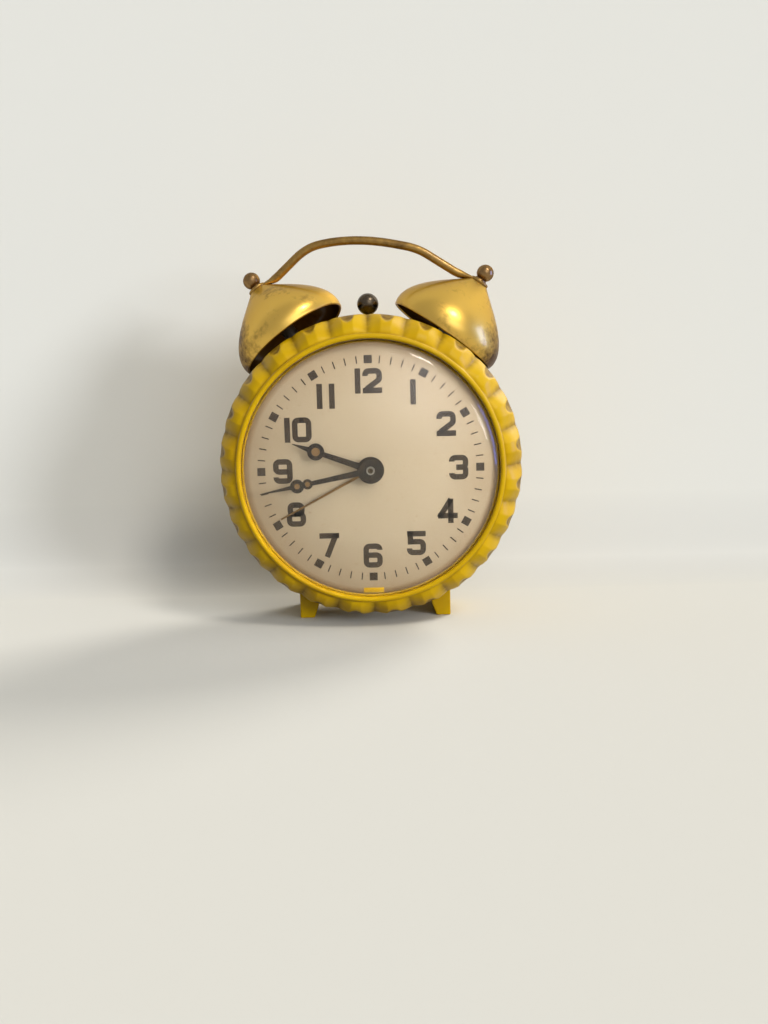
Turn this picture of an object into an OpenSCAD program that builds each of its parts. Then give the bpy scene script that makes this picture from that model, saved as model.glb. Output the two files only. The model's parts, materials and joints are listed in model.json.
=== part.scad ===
// Mechanical twin-bell alarm clock with a petalled bezel.
// Millimetres, +Z up, the dial faces -Y, origin under the middle of the clock.
// A depth (name ending in _d) runs back from the tip of the domed crystal.

/* [Case] */
// Height of the drum above the table
foot_h = 7; // [6:0.25:12]
// Sheet thickness of the drum
drum_wall = 1; // [0.6:0.1:1.2]
// Length of the narrow neck that carries the dial
neck_len = 3; // [2:0.25:4]
// Thickness of the back cover
cover_t = 0.8; // [0.6:0.1:1.5]
// Depth of the rim that the back cover pushes into the drum
cover_rim = 3; // [2:0.25:5]
// Distance from the clock's middle to the middle of a foot
foot_x = 22.5; // [18:0.5:25]
// Width of a foot on the table
foot_w = 4.6; // [4:0.2:8]
// Length of a foot from front to back
foot_len = 22; // [14:1:26]
// Sheet thickness of a foot
foot_wall = 1.2; // [0.8:0.1:1.6]

/* [Bezel and glass] */
// Number of petals round the bezel
petals = 24; // [18:1:30]
// Radius of the bezel over its petals
bezel_r = 48; // [47:0.25:49]
// Width of the bezel from its rim in to its opening
band_w = 7.7; // [7.2:0.1:8.4]
// How far the bezel's rim stands out past the drum
bezel_over = 4; // [3.5:0.25:5]
// Radius of the bead round the opening
bead_r = 0.8; // [0.6:0.1:1]
// Distance from the front of the bead back to the widest rim
bezel_drop = 8; // [7:0.25:9]
// Length of the skirt behind the widest rim
skirt_len = 4.5; // [3.5:0.25:6]
// Depth of the crease between two petals at the rim
crease = 1; // [0.4:0.1:1.2]
// Depth of the scoop in the middle of a petal at the rim
scoop = 0.9; // [0.4:0.1:1.2]
// Radius of the scoop at the rim
scoop_r = 4.2; // [3:0.2:5]
// Rise of the domed crystal in front of the bezel
dome_rise = 9.5; // [8:0.25:12]
// Radius of the crystal's rounded shoulder
dome_knuckle = 5; // [3:0.25:6]
// Thickness of the crystal
crystal_t = 1.4; // [1:0.1:1.8]
// Distance from the front of the bead back to the dial
dial_set = 2.4; // [2.2:0.1:3]
// Thickness of the dial
dial_t = 0.6; // [0.4:0.1:0.8]

/* [Bells and handle] */
// Angle of each bell's post from upright
bell_angle = 31; // [29:0.5:36]
// Further outward cant of each bell where its post bends
bell_cant = 5; // [0:0.5:7]
// Radius of a bell at its mouth
bell_r = 18.8; // [17:0.2:19.2]
// Height of a bell
bell_h = 20.8; // [16:0.2:22]
// Sheet thickness of a bell
bell_wall = 0.8; // [0.6:0.1:1.2]
// Height of the bells' mouths above the drum
bell_lift = 2.5; // [2.3:0.1:6]
// Backward lean of the left bell on its bent post
lean_left = 13; // [0:0.5:13]
// Backward lean of the right bell
lean_right = 5; // [2:0.5:10]
// Radius of the bell posts' thread
post_r = 1.1; // [0.9:0.1:1.5]
// Radius of the bell posts' shoulder
shoulder_r = 2.4; // [2:0.1:3]
// Radius of the ball on each bell nut
ball_r = 2.8; // [2.2:0.1:3.4]
// Radius of the handle wire
wire_r = 1.4; // [1:0.1:1.6]
// Thickness of the handle's flattened eyes
eye_t = 1; // [0.8:0.1:1.5]
// Height above the left bell's crown that the handle's arch rises towards
handle_rise = 16; // [14:0.25:24]
// Length of the handle's flattened strap on the left bell, from the bell's axis
strap_left = 6.6; // [6:0.2:8]
// Length of the strap on the right bell
strap_right = 7.4; // [6:0.2:9]
// Dip of the wire's left end under its bell's crown
dip_left = 0.5; // [0:0.1:0.6]
// Dip of the right end
dip_right = 1.1; // [0:0.1:1.2]
// Distance from the clock's middle to the crest of the arch, to the left
crest_x = 3.5; // [0:0.5:6]
// Distance from the left bell's axis in to the handle's left bend
bend_left = 16.7; // [14:0.1:21]
// Drop of the left bend under the crest
drop_left = 2.9; // [2:0.1:5]
// Distance from the right bell's axis in to the handle's right bend
bend_right = 19.9; // [14:0.1:23]
// Drop of the right bend under the crest
drop_right = 4.2; // [2:0.1:5]

/* [Hammer] */
// Height of the hammer's arbor above the clock's axis
hammer_z = 22; // [20:0.5:25]
// Height of the hammer's ball above the mouths of the bells
head_rise = 4.3; // [2.6:0.1:5.6]
// Radius of the hammer's ball
head_r = 3.5; // [2.5:0.1:4]
// Length of the hammer's hub in front of its rod
hub_len = 4; // [1:0.1:4.2]
// Radius of the hammer's rod
rod_r = 0.9; // [0.7:0.1:1.2]
// Swing of the hammer to each side
hammer_swing = 9; // [5:0.5:10]

/* [Movement frame] */
// Radius of the two brass plates
plate_r = 35; // [33.5:0.25:37]
// Thickness of the plates
plate_t = 1.2; // [1:0.1:1.6]
// Space between the plates
plate_gap = 20.8; // [20.4:0.2:24]
// Space between the dial and the front plate
motion_gap = 5.9; // [5.8:0.1:7]
// Space between the back plate and the back cover
back_gap = 7.8; // [6:0.2:12]
// Radius of the plate pillars
pillar_r = 2; // [1.6:0.1:2.4]
// Distance of the pillars from the clock's axis
pillar_ring = 31; // [30.5:0.25:31.5]
// Radius of the threaded ends of the pillars
stub_r = 1.2; // [0.8:0.1:1.4]
// Radius of the pillar nuts and cover standoffs over their corners
nut_r = 2.6; // [2.2:0.1:3]
// Thickness of the pillar nuts
nut_t = 1.6; // [1.2:0.1:2.2]

/* [Trains] */
// Module of the spring-driven great wheels
great_m = 0.5; // [0.49:0.005:0.51]
// Module of the centre wheel
center_m = 0.4; // [0.38:0.005:0.42]
// Module of the third wheel
third_m = 0.35; // [0.33:0.005:0.36]
// Module of the fourth wheel
fourth_m = 0.3; // [0.28:0.005:0.32]
// Module of the cannon pinion and minute wheel
minute_m = 0.35; // [0.33:0.005:0.36]
// Module of the alarm wheel
alarm_m = 0.4; // [0.395:0.005:0.41]
// Thickness of the wheels
wheel_t = 1; // [0.8:0.1:1.1]
// Radius of the winding arbors
wind_r = 1.6; // [1.2:0.1:1.8]
// Radius of the train arbors
arbor_r = 0.8; // [0.6:0.05:0.85]
// Radius of the train pivots
pivot_r = 0.5; // [0.4:0.05:0.55]
// Radius of the escape wheel
escape_r = 5; // [4:0.1:5.4]
// Radius of the balance wheel
balance_r = 7.5; // [6:0.1:7.8]
// Swing of the pallet lever to each side
pallet_swing = 4; // [2:0.5:6]
// Strip thickness of the mainsprings
spring_t = 0.45; // [0.3:0.05:0.6]
// Outer radius of the coiled mainsprings
spring_r = 13; // [10:0.25:13.5]
// Turns of each mainspring
spring_turns = 7; // [5:1:8]

/* [Hands] */
// Length of the hour hand
hour_len = 25.5; // [20:0.5:28]
// Distance from the minute hand's tip out to the bezel's opening
minute_short = 5.4; // [5.2:0.1:10]
// Length of the alarm hand
alarm_len = 32; // [24:0.5:34]
// Thickness of the hands
hand_t = 0.4; // [0.3:0.05:0.6]
// Hour hand, degrees clockwise from twelve
hour_angle = 290; // [0:1:360]
// Minute hand, degrees clockwise from twelve
minute_angle = 259.2; // [0:0.1:360]
// Alarm hand, degrees clockwise from twelve
alarm_angle = 242.2; // [0:0.1:360]

/* [Controls] */
// Length of a winding key behind the back cover
key_len = 15.6; // [14:0.2:20]
// Radius of each lobe of a key's wing
key_lobe = 4.6; // [3.5:0.1:4.8]
// Half the distance between a key's lobes
key_half = 5.2; // [4:0.1:5.3]
// Radius of the hand-setting knob
set_knob_r = 5.5; // [4:0.1:6]
// Radius of the alarm-setting knob
alarm_knob_r = 5; // [4:0.1:5.5]
// Length of the knobs
knob_len = 6; // [4:0.2:8]
// Turn of the regulator to each side
regulator_turn = 25; // [10:1:30]
// Travel of the alarm stop
stop_turn = 20; // [10:1:25]

/* [Fits] */
// Radial clearance of a running fit
fit = 0.05; // [0.03:0.01:0.08]
// Radial clearance of pieces that seat and stay put
seat = 0.03; // [0.02:0.01:0.05]
// Clearance between pieces that pass each other
gap = 0.3; // [0.2:0.05:0.35]

/* [Hidden] */
$fn = 64;

yellow = "#d9b310";
brass = "#b9923c";
old_brass = "#7d5f2c";
steel = "#9a9c9e";
black = "#1d1a18";
ivory = "#dccdb4";

// Radii and heights that follow the bezel's rim
drum_r = bezel_r - bezel_over;
lip_r = bezel_r - band_w;
axis_z = drum_r + foot_h;
bell_seat = drum_r + bell_lift;
head_z = bell_seat + head_rise;
minute_len = lip_r - minute_short;

// Depths, from the tip of the crystal to the end of the keys
lip_d = dome_rise;
dial_d = lip_d + dial_set;
dial_back_d = dial_d + dial_t;
front_d = dial_back_d + motion_gap;
front_back_d = front_d + plate_t;
back_d = front_back_d + plate_gap;
back_back_d = back_d + plate_t;
cover_d = back_back_d + back_gap;
cover_back_d = cover_d + cover_t;
key_d = cover_back_d + 0.8;
depth = cover_back_d + key_len;

// Radii of the bezel's seat, the crystal's flange, the dial and the drum's neck
seat_r = lip_r + 1.2;
flange_r = seat_r - 0.1;
rim_d = lip_d + bezel_drop;
skirt_d = rim_d + skirt_len;
flange_d = lip_d + 2 * bead_r;
shoulder_d = dial_back_d + neck_len;
drum_in = drum_r - drum_wall;

// The sloping band of the bezel, from the foot of the bead to the rim
band_r = lip_r + 2 * bead_r;
band_d = lip_d + bead_r;
band_len = norm([bezel_r - band_r, rim_d - band_d]);
band_slope = atan2(rim_d - band_d, bezel_r - band_r);

// Bells stand on posts that bend just outside the drum
bend_r = drum_r + 1.5;
eye_r = 3.2;
crown_r = 3.5;
neck_r = 1.6;
post_nut_r = 3.2;
post_nut_t = 2.4;
bell_rise = bell_seat - bend_r;
eye_h = bell_h + eye_t;

// Tooth forms, as shares of the module and of the pitch
wheel_teeth = [[-0.3, -1.15], [-0.1, 0.7], [0.1, 0.7], [0.3, -1.15]];
pinion_teeth = [[-0.19, -0.95], [-0.18, 0], [-0.07, 0.8], [0.07, 0.8], [0.18, 0], [0.19, -0.95]];
great_n = 60;
center_n = 64;
third_n = 60;
fourth_n = 64;
escape_n = 15;
leaf_n = 8;
cannon_n = 12;
minute_n = 36;
minute_leaf_n = 10;
hour_n = 40;
alarm_n = 60;
set_n = 12;

// Places of the arbors seen from the front, each a pitch distance from the last
function reach(n1, n2, m) = (n1 + n2) * m / 2;
function polar(r, a) = [r * cos(a), r * sin(a)];
function heading(p, q) = atan2(q[1] - p[1], q[0] - p[0]);
center = [0, 0];
time_p = [-reach(great_n, leaf_n, great_m), 0];
alarm_p = [reach(great_n, leaf_n, great_m), 0];
third_p = [0, -reach(center_n, leaf_n, center_m)];
fourth_p = third_p + polar(reach(third_n, leaf_n, third_m), -30);
escape_p = fourth_p + polar(reach(fourth_n, leaf_n, fourth_m), 227.5);
pallet_p = escape_p + polar(escape_r + 3.2, 185);
balance_p = [-15.5, -25.5];
set_p = polar(reach(alarm_n, set_n, alarm_m), 110);
minute_p = polar(reach(minute_n, cannon_n, minute_m), 250);
minute_leaf_m = 2 * norm(minute_p) / (hour_n + minute_leaf_n);
strike_p = alarm_p + polar(reach(great_n, leaf_n, great_m), 115);
hammer_p = [0, hammer_z];
strike_r = 6;
stop_p = [13, 27];
stop_heading = -45;
regulator_heading = heading(center, balance_p);
pillar_angles = [30, 150, 215, 325];
dial_foot_angles = [90, 210, 330];
dial_foot_ring = 27;

// Turn of a gear that meshes with one whose first tooth points along turn_a
function mesh(turn_a, n_a, n_b, line) = line + 180 - ((turn_a - line) * n_a + 180) / n_b;
center_turn = mesh(0, great_n, leaf_n, heading(time_p, center));
third_turn = mesh(0, center_n, leaf_n, heading(center, third_p));
fourth_turn = mesh(0, third_n, leaf_n, heading(third_p, fourth_p));
escape_turn = mesh(0, fourth_n, leaf_n, heading(fourth_p, escape_p));
minute_turn = mesh(0, cannon_n, minute_n, heading(center, minute_p));
hour_turn = mesh(minute_turn, minute_leaf_n, hour_n, heading(minute_p, center));
alarm_turn = mesh(0, set_n, alarm_n, heading(set_p, center));
strike_turn = mesh(0, great_n, leaf_n, heading(alarm_p, strike_p));

// Layers of the trains, back from the front plate or forward from it
center_d = front_back_d + 0.6;
escape_d = front_back_d + 5;
spring_d = front_back_d + 3;
spring_w = 8;
alarm_spring_w = 5.8;
great_d = spring_d + spring_w + 1;
alarm_great_d = spring_d + alarm_spring_w + 0.8;
great_t = 1.4;
third_d = great_d + great_t + 1.6;
fourth_d = third_d + wheel_t + 1.5;
strike_d = great_d + great_t + 0.4;
post_d = strike_d + wheel_t + hub_len;
balance_d = escape_d + 3.8;
hair_d = back_d - 2.2;
regulator_d = back_d - 1.1;
cannon_d = front_d - 1.6;
hour_d = cannon_d - 0.8 - wheel_t;
alarm_d = hour_d - 0.7 - wheel_t;
pinion_over = 0.25;

// Hands, each on the end of its own tube
minute_hand_d = lip_d - 1.2;
hour_hand_d = minute_hand_d + hand_t + 0.7;
alarm_hand_d = hour_hand_d + hand_t + 0.7;
center_r = 0.8;
cannon_r = 1.3;
hour_in = cannon_r + 0.1;
hour_out = hour_in + 0.6;
alarm_in = hour_out + 0.1;
alarm_out = alarm_in + 0.6;
sleeve_r = 1.3;
ratchet_r = 5.2;
ratchet_n = 16;
ratchet_t = 1;
click_ring = 8.2;
click_pin_r = 0.7;
pallet_pin_r = 0.3;
pallet_pin_ring = escape_r + pallet_pin_r + 0.1 + 5 * sin(pallet_swing);
roller_ring = 2.2;
roller_pin_r = 0.35;
hair_r = 5.6;
hair_t = 0.2;
curb_r = 0.15;
curb_off = hair_t / 2 + curb_r + 0.12;
bush_r = 2;
cover_in = drum_in - seat - drum_wall;
regulator_arm = (plate_r + cover_in) / 2 - norm(balance_p);
stop_arm = 8;
stub_len = 3;
screw_len = 3;
key_grip = key_len / 3 - 0.2;
knob_grip = knob_len - 2;

// Frames
module round_axis(a) translate([0, -depth / 2, axis_z]) rotate([0, a, 0]) children();
module revolve() translate([0, -depth / 2, axis_z]) rotate([-90, 0, 0]) rotate_extrude() children();
module slab(p, from, to) translate([p[0], to - depth / 2, axis_z + p[1]]) rotate([90, 0, 0])
    linear_extrude(to - from) children();
module shaft(p, from, to, r) translate([p[0], to - depth / 2, axis_z + p[1]]) rotate([90, 0, 0])
    cylinder(r = r, h = to - from);
module bell_frame(side) round_axis(side * bell_angle) translate([0, post_d, bend_r])
    rotate([0, side * bell_cant, 0]) rotate([-lean(side), 0, 0]) translate([0, 0, bell_rise]) children();

// A point on a bell's own axis, h above its mouth, in the clock's frame
function lean(side) = side < 0 ? lean_left : lean_right;
function bell_out(side, h) = (bell_rise + h) * cos(lean(side));
function bell_point(side, h) = [
    side * (bend_r * sin(bell_angle) + bell_out(side, h) * sin(bell_angle + bell_cant)),
    post_d - depth / 2 + (bell_rise + h) * sin(lean(side)),
    axis_z + bend_r * cos(bell_angle) + bell_out(side, h) * cos(bell_angle + bell_cant)
];

// Curves and outlines
function arc(c, r, a0, a1, n) = [for (i = [0:n]) c + polar(r, a0 + (a1 - a0) * i / n)];
function bezier(p, n) = [for (i = [0:n]) let (t = i / n, s = 1 - t)
    s * s * s * p[0] + 3 * s * s * t * p[1] + 3 * s * t * t * p[2] + t * t * t * p[3]];
function reversed(list) = [for (i = [len(list) - 1:-1:0]) list[i]];
function teeth(n, m, form, turn) = [for (i = [0:n - 1], q = form)
    polar(n * m / 2 + q[1] * m, turn + (i + q[0]) * 360 / n)];
function saw(n, r, drop, turn) = let (tooth = [[0, r], [0.12, r], [0.3, r - drop], [0.85, r - drop]])
    [for (i = [0:n - 1], q = tooth) polar(q[1], turn + (i + q[0]) * 360 / n)];
function spiral_r(a, r0, r1, turns) = r0 + (r1 - r0) * min(a / (360 * turns), 1);
function spiral(r0, r1, turns, total, t, a0, steps) = let (n = round(total * steps)) concat(
    [for (i = [0:n]) let (a = 360 * total * i / n) polar(spiral_r(a, r0, r1, turns) + t / 2, a0 + a)],
    [for (i = [n:-1:0]) let (a = 360 * total * i / n) polar(spiral_r(a, r0, r1, turns) - t / 2, a0 + a)]);

// A bar between two points that tapers from width w0 to w1
module bar(p, q, w0, w1) {
    side = polar(0.5, heading(p, q) + 90);
    polygon([p + side * w0, p - side * w0, q - side * w1, q + side * w1]);
}

// Windows that leave arms between a hub and a rim
module windows(hub, rim, arms, width) difference() {
    circle(rim);
    circle(hub);
    for (i = [0:arms - 1]) rotate(i * 360 / arms) translate([0, -width / 2]) square([rim + 1, width]);
}

module crossed_wheel(n, m, turn, hub, arms) difference() {
    polygon(teeth(n, m, wheel_teeth, turn));
    windows(hub, n * m / 2 - 3.2 * m - 0.4, arms, 1.6);
}

module pinion(p, m, n, turn, from, to) slab(p, from, to) polygon(teeth(n, m, pinion_teeth, turn));

// An arbor between the plates with a pivot in each
module train_arbor(p, shoulder = back_d - 0.2) {
    shaft(p, front_back_d + 0.2, shoulder, arbor_r);
    shaft(p, front_d, back_back_d, pivot_r);
}

// Case
module bezel_profile() polygon(concat(
    arc([lip_r + bead_r, lip_d + bead_r], bead_r, 180, 360, 12),
    [
        [bezel_r - 0.5, rim_d - 0.9],
        [bezel_r, rim_d],
        [bezel_r - 0.4, rim_d + 0.4 * skirt_len],
        [drum_r + fit + 1.2, skirt_d - 0.8],
        [drum_r + fit + 1, skirt_d],
        [drum_r + fit, skirt_d],
        [drum_r + fit, skirt_d - 1.4],
        [bezel_r - 2.6, rim_d + 0.4 * skirt_len],
        [bezel_r - 2.6, rim_d],
        [seat_r, dial_back_d + 1],
        [seat_r, flange_d],
        [lip_r, flange_d]
    ]));

// A groove with bulging sides; sag follows the roundness of the surface that it is cut in
module crease_form(length, sag) {
    half = band_r * sin(180 / petals) - 0.05;
    linear_extrude(length) polygon(concat(
        [[half, -3], [-half, -3]],
        [for (i = [-4:4]) let (s = i / 4) [s * half, crease * pow(1 - abs(s), 2) + sag * pow(s * half, 2)]]));
}

// The crease between two petals deepens down the band and runs back over the rim
module petal_crease() {
    start = 0.35;
    lift = asin((crease - start) / band_len);
    translate([0, band_d, band_r]) rotate([-lift - band_slope, 0, 0]) translate([0, start - crease, 0.2])
        crease_form(band_len + 3, sin(band_slope) / (band_r + bezel_r));
    translate([0, rim_d - 1, bezel_r]) rotate([-90, 0, 0]) crease_form(skirt_len + 1, 1 / (2 * bezel_r));
}

// The scoop that widens and deepens out to the rim across the middle of a petal
module petal_scoop() {
    start = 0.35 * band_len;
    run = band_len - start;
    past = 1.4;
    tip_r = 0.5;
    rise = scoop_r - scoop - tip_r;
    translate([0, band_d, band_r]) rotate([-band_slope, 0, 0]) translate([0, -tip_r, start])
        rotate([atan(rise / run), 0, 0])
            cylinder(r1 = tip_r, r2 = tip_r + past * (scoop_r - tip_r), h = past * norm([rise, run]));
}

module bezel() color(yellow) difference() {
    revolve() bezel_profile();
    for (i = [0:petals - 1]) {
        round_axis(i * 360 / petals) petal_crease();
        round_axis((i + 0.5) * 360 / petals) petal_scoop();
    }
}

module drum_profile() polygon([
    [flange_r - drum_wall, dial_back_d],
    [flange_r, dial_back_d],
    [flange_r, shoulder_d],
    [drum_r, shoulder_d + drum_r - flange_r],
    [drum_r, cover_d],
    [drum_in, cover_d],
    [drum_in, shoulder_d + drum_r - flange_r + 0.4],
    [flange_r - drum_wall, shoulder_d + 0.4]
]);

module case_drum() color(yellow) difference() {
    revolve() drum_profile();
    for (side = [-1, 1]) round_axis(side * bell_angle) translate([0, post_d, drum_in - 2])
        cylinder(r = post_r + seat, h = drum_wall + 4);
    hammer_slot();
}

// The slot in the top of the drum lets the hammer's rod swing
module hammer_slot() {
    half = (drum_r - hammer_z) * tan(hammer_swing) + rod_r / cos(hammer_swing) + gap;
    round_axis(0) translate([-half, post_d - rod_r - gap, drum_in - 3])
        cube([2 * half, 2 * (rod_r + gap), drum_wall + 5]);
}

// Crown radius that meets the rounded shoulder of the crystal smoothly
function crown(r, k, rise) = (pow(r - k, 2) + rise * rise - k * k) / (2 * (rise - k));
function dome(r, k, top, base) = let (
        c = crown(r, k, base - top),
        turn = asin((r - k) / (c - k))
    ) concat(
        arc([0, top + c], c, -90, turn - 90, 10),
        arc([r - k, base], k, turn - 90, 0, 6));

module crystal() color("#e8eef0", 0.35) revolve() polygon(concat(
    dome(lip_r - 0.2, dome_knuckle, 0, flange_d),
    [[flange_r, flange_d], [flange_r, dial_d]],
    reversed(concat(dome(lip_r - 0.2 - crystal_t, dome_knuckle - crystal_t, crystal_t, flange_d),
        [[lip_r - 0.2 - crystal_t, dial_d]]))));

module dial() color(ivory) difference() {
    shaft(center, dial_d, dial_back_d, flange_r);
    shaft(center, dial_d - 1, dial_back_d + 1, alarm_out + gap);
}

module back_cover() color(yellow) difference() {
    union() {
        shaft(center, cover_d, cover_back_d, drum_r);
        shaft(center, cover_d - cover_rim, cover_d, drum_in - seat);
    }
    shaft(center, cover_d - cover_rim - 1, cover_d, cover_in);
    for (p = [time_p, alarm_p]) shaft(p, cover_d - 1, cover_back_d + 1, wind_r + gap);
    shaft(center, cover_d - 1, cover_back_d + 1, center_r + gap);
    shaft(set_p, cover_d - 1, cover_back_d + 1, arbor_r + gap);
    for (a = pillar_angles) shaft(polar(pillar_ring, a), cover_d - 1, cover_back_d + 1, stub_r + seat);
    slab(balance_p, cover_d - 1, cover_back_d + 1) rotate(regulator_heading)
        arc_slot(regulator_arm, 0.7 + gap, -regulator_turn, regulator_turn);
    slab(stop_p, cover_d - 1, cover_back_d + 1)
        arc_slot(stop_arm, 1 + gap, stop_heading - stop_turn, stop_heading);
}

// A slot along an arc of radius r, half as wide as it is named, with round ends
module arc_slot(r, half, a0, a1) polygon(concat(
    arc([0, 0], r + half, a0, a1, 10),
    [for (i = [1:7]) polar(r, a1) + polar(half, a1 + i * 22.5)],
    arc([0, 0], r - half, a1, a0, 10),
    [for (i = [1:7]) polar(r, a0) + polar(half, a0 + 180 + i * 22.5)]));

module cover_screws() color(steel) for (a = pillar_angles) difference() {
    union() {
        shaft(polar(pillar_ring, a), cover_d - screw_len, cover_back_d, stub_r);
        shaft(polar(pillar_ring, a), cover_back_d, cover_back_d + 1.2, stub_r + 1);
    }
    slab(polar(pillar_ring, a), cover_back_d + 0.6, cover_back_d + 2)
        square([stub_r / 2, 5 * stub_r], center = true);
}

// A stamped foot: a tapering channel, open against the drum
module foot(side) {
    from = post_d - foot_len / 2;
    to = post_d + foot_len / 2;
    top = sqrt(drum_r * drum_r - pow(foot_x + foot_w, 2)) - 2;
    outer = [
        [foot_x + foot_w / 2, -axis_z],
        [foot_x + foot_w / 2, -top],
        [foot_x - foot_w / 2 - 2, -top],
        [foot_x - foot_w / 2 - 1.5, 4 - axis_z],
        [foot_x - foot_w / 2, -axis_z]
    ];
    inner = [
        [foot_x + foot_w / 2 - foot_wall, foot_wall - axis_z],
        [foot_x + foot_w / 2 - foot_wall, 0],
        [foot_x - foot_w / 2 - 2 + foot_wall, 0],
        [foot_x - foot_w / 2 - 1.5 + foot_wall, 4 - axis_z],
        [foot_x - foot_w / 2 + foot_wall, foot_wall - axis_z]
    ];
    mirror([side < 0 ? 1 : 0, 0, 0]) difference() {
        slab(center, from, to) polygon(outer);
        slab(center, from + foot_wall, to - foot_wall) polygon(inner);
        shaft(center, from - 1, to + 1, drum_r + seat);
    }
}

module foot_left() color(yellow) foot(-1);
module foot_right() color(yellow) foot(1);

// Bells, posts and handle
module bell_post(side) color(steel) {
    round_axis(side * bell_angle) translate([0, post_d, 0]) {
        translate([0, 0, drum_in - 3.6]) cylinder(r = post_r, h = bend_r - drum_in + 3.6);
        translate([0, 0, drum_r]) cylinder(r = shoulder_r + 0.5, h = bend_r - drum_r + 1);
    }
    bell_frame(side) {
        translate([0, 0, -bell_rise]) cylinder(r = shoulder_r, h = bell_rise + bell_h - bell_wall);
        cylinder(r = post_r, h = eye_h + ball_r);
    }
}

function bell_outline(r, h, t) =
    bezier([[crown_r - t * 0.4, h - t], [0.39 * bell_r - t * 0.6, 0.82 * bell_h - t * 0.8],
        [1.13 * bell_r - t, 0.4 * bell_h - t * 0.4], [r, 0]], 12);

module bell(side) color(brass) bell_frame(side) rotate_extrude() polygon(concat(
    [[post_r + seat, bell_h - bell_wall], [post_r + seat, bell_h]],
    bell_outline(bell_r, bell_h, 0),
    reversed(bell_outline(bell_r - bell_wall, bell_h, bell_wall))));

module ball_nut(side) color(old_brass) bell_frame(side) difference() {
    union() {
        translate([0, 0, eye_h]) cylinder(r1 = neck_r + 0.6, r2 = neck_r, h = 1);
        translate([0, 0, eye_h]) cylinder(r = neck_r, h = ball_r);
        translate([0, 0, eye_h + 0.2 + ball_r]) sphere(r = ball_r);
    }
    translate([0, 0, eye_h - 1]) cylinder(r = post_r + seat, h = 1 + ball_r + 0.3);
}

module post_nuts() color(steel) for (side = [-1, 1])
    round_axis(side * bell_angle) translate([0, post_d, drum_in - 0.15 - post_nut_t]) difference() {
        cylinder(r = post_nut_r, h = post_nut_t, $fn = 6);
        translate([0, 0, -1]) cylinder(r = post_r + seat, h = 5);
    }

// The handle's path: out of one eye, round a bend, over the arch and down to the other eye
function unit(v) = v / norm(v);
function bell_axis(side) = unit(bell_point(side, 1) - bell_point(side, 0));
function handle_eye(side) = bell_point(side, bell_h + eye_t / 2);
function handle_at(x, z) = let (p = handle_eye(-1), q = handle_eye(1), t = (x - p[0]) / (q[0] - p[0]))
    [x, p[1] + t * (q[1] - p[1]), axis_z + z];
handle_top = handle_eye(-1)[2] - axis_z + handle_rise;
handle_crest = handle_at(-crest_x, handle_top);
function handle_bend(side) = side < 0
    ? handle_at(handle_eye(-1)[0] + bend_left, handle_top - drop_left)
    : handle_at(handle_eye(1)[0] - bend_right, handle_top - drop_right);
function along_crown(side) = let (v = handle_bend(side) - handle_eye(side), a = bell_axis(side))
    unit(v - (v * a) * a);
function handle_end(side) = handle_eye(side) + along_crown(side) * (eye_r - 0.8);
function handle_edge(side) = handle_eye(side) + along_crown(side) * (crown_r + 0.9);
function handle_knee(side) = handle_eye(side) + along_crown(side) * (side < 0 ? strap_left : strap_right)
    - bell_axis(side) * (eye_t / 2 + (side < 0 ? dip_left : dip_right));
function rounded(p, q, r, share, n) = let (a = q + (p - q) * share[0], b = q + (r - q) * share[1])
    [for (i = [0:n]) let (t = i / n, s = 1 - t) s * s * a + 2 * s * t * q + t * t * b];
handle_path = concat(
    [handle_end(-1), handle_edge(-1), handle_knee(-1)],
    rounded(handle_knee(-1), handle_bend(-1), handle_crest, [0.36, 0.28], 6),
    rounded(handle_bend(-1), handle_crest, handle_bend(1), [0.68, 0.64], 8),
    rounded(handle_crest, handle_bend(1), handle_knee(1), [0.22, 0.24], 6),
    [handle_knee(1), handle_edge(1), handle_end(1)]);

// A round wire along a path, pinched to the flat eyes at its ends
function wire_at(i, n) = min(i, n - 1 - i) < 2 ? 0.42 * eye_t : wire_r;
module wire(path, sides) {
    n = len(path);
    rings = [for (i = [0:n - 1]) let (
            d = path[min(i + 1, n - 1)] - path[max(i - 1, 0)],
            t = d / norm(d),
            u0 = cross(t, [0, 1, 0]),
            u = u0 / norm(u0),
            v = cross(t, u)
        ) each [for (j = [0:sides - 1]) let (a = j * 360 / sides)
            path[i] + wire_at(i, n) * (cos(a) * u + sin(a) * v)]];
    polyhedron(points = rings, faces = concat(
        [[for (j = [0:sides - 1]) j]],
        [[for (j = [sides - 1:-1:0]) (n - 1) * sides + j]],
        [for (i = [0:n - 2], j = [0:sides - 1]) let (k = (j + 1) % sides)
            each [
                [i * sides + j, (i + 1) * sides + j, (i + 1) * sides + k],
                [i * sides + j, (i + 1) * sides + k, i * sides + k]
            ]]));
}

module handle() color(brass) difference() {
    union() {
        wire(handle_path, 12);
        for (side = [-1, 1]) bell_frame(side) translate([0, 0, bell_h]) cylinder(r = eye_r, h = eye_t);
    }
    for (side = [-1, 1]) bell_frame(side) translate([0, 0, bell_h - 1])
        cylinder(r = post_r + seat, h = eye_t + 2);
}

module bell_post_left() bell_post(-1);
module bell_post_right() bell_post(1);
module bell_left() bell(-1);
module bell_right() bell(1);
module ball_nut_left() ball_nut(-1);
module ball_nut_right() ball_nut(1);

// Movement frame
module plate_holes(from, to) {
    for (p = [third_p, fourth_p, escape_p, pallet_p, balance_p, strike_p, hammer_p])
        shaft(p, from, to, pivot_r + fit);
    for (a = pillar_angles) shaft(polar(pillar_ring, a), from, to, stub_r + seat);
    shaft(center, from, to, sleeve_r + fit);
    shaft(set_p, from, to, arbor_r + fit);
}

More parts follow.
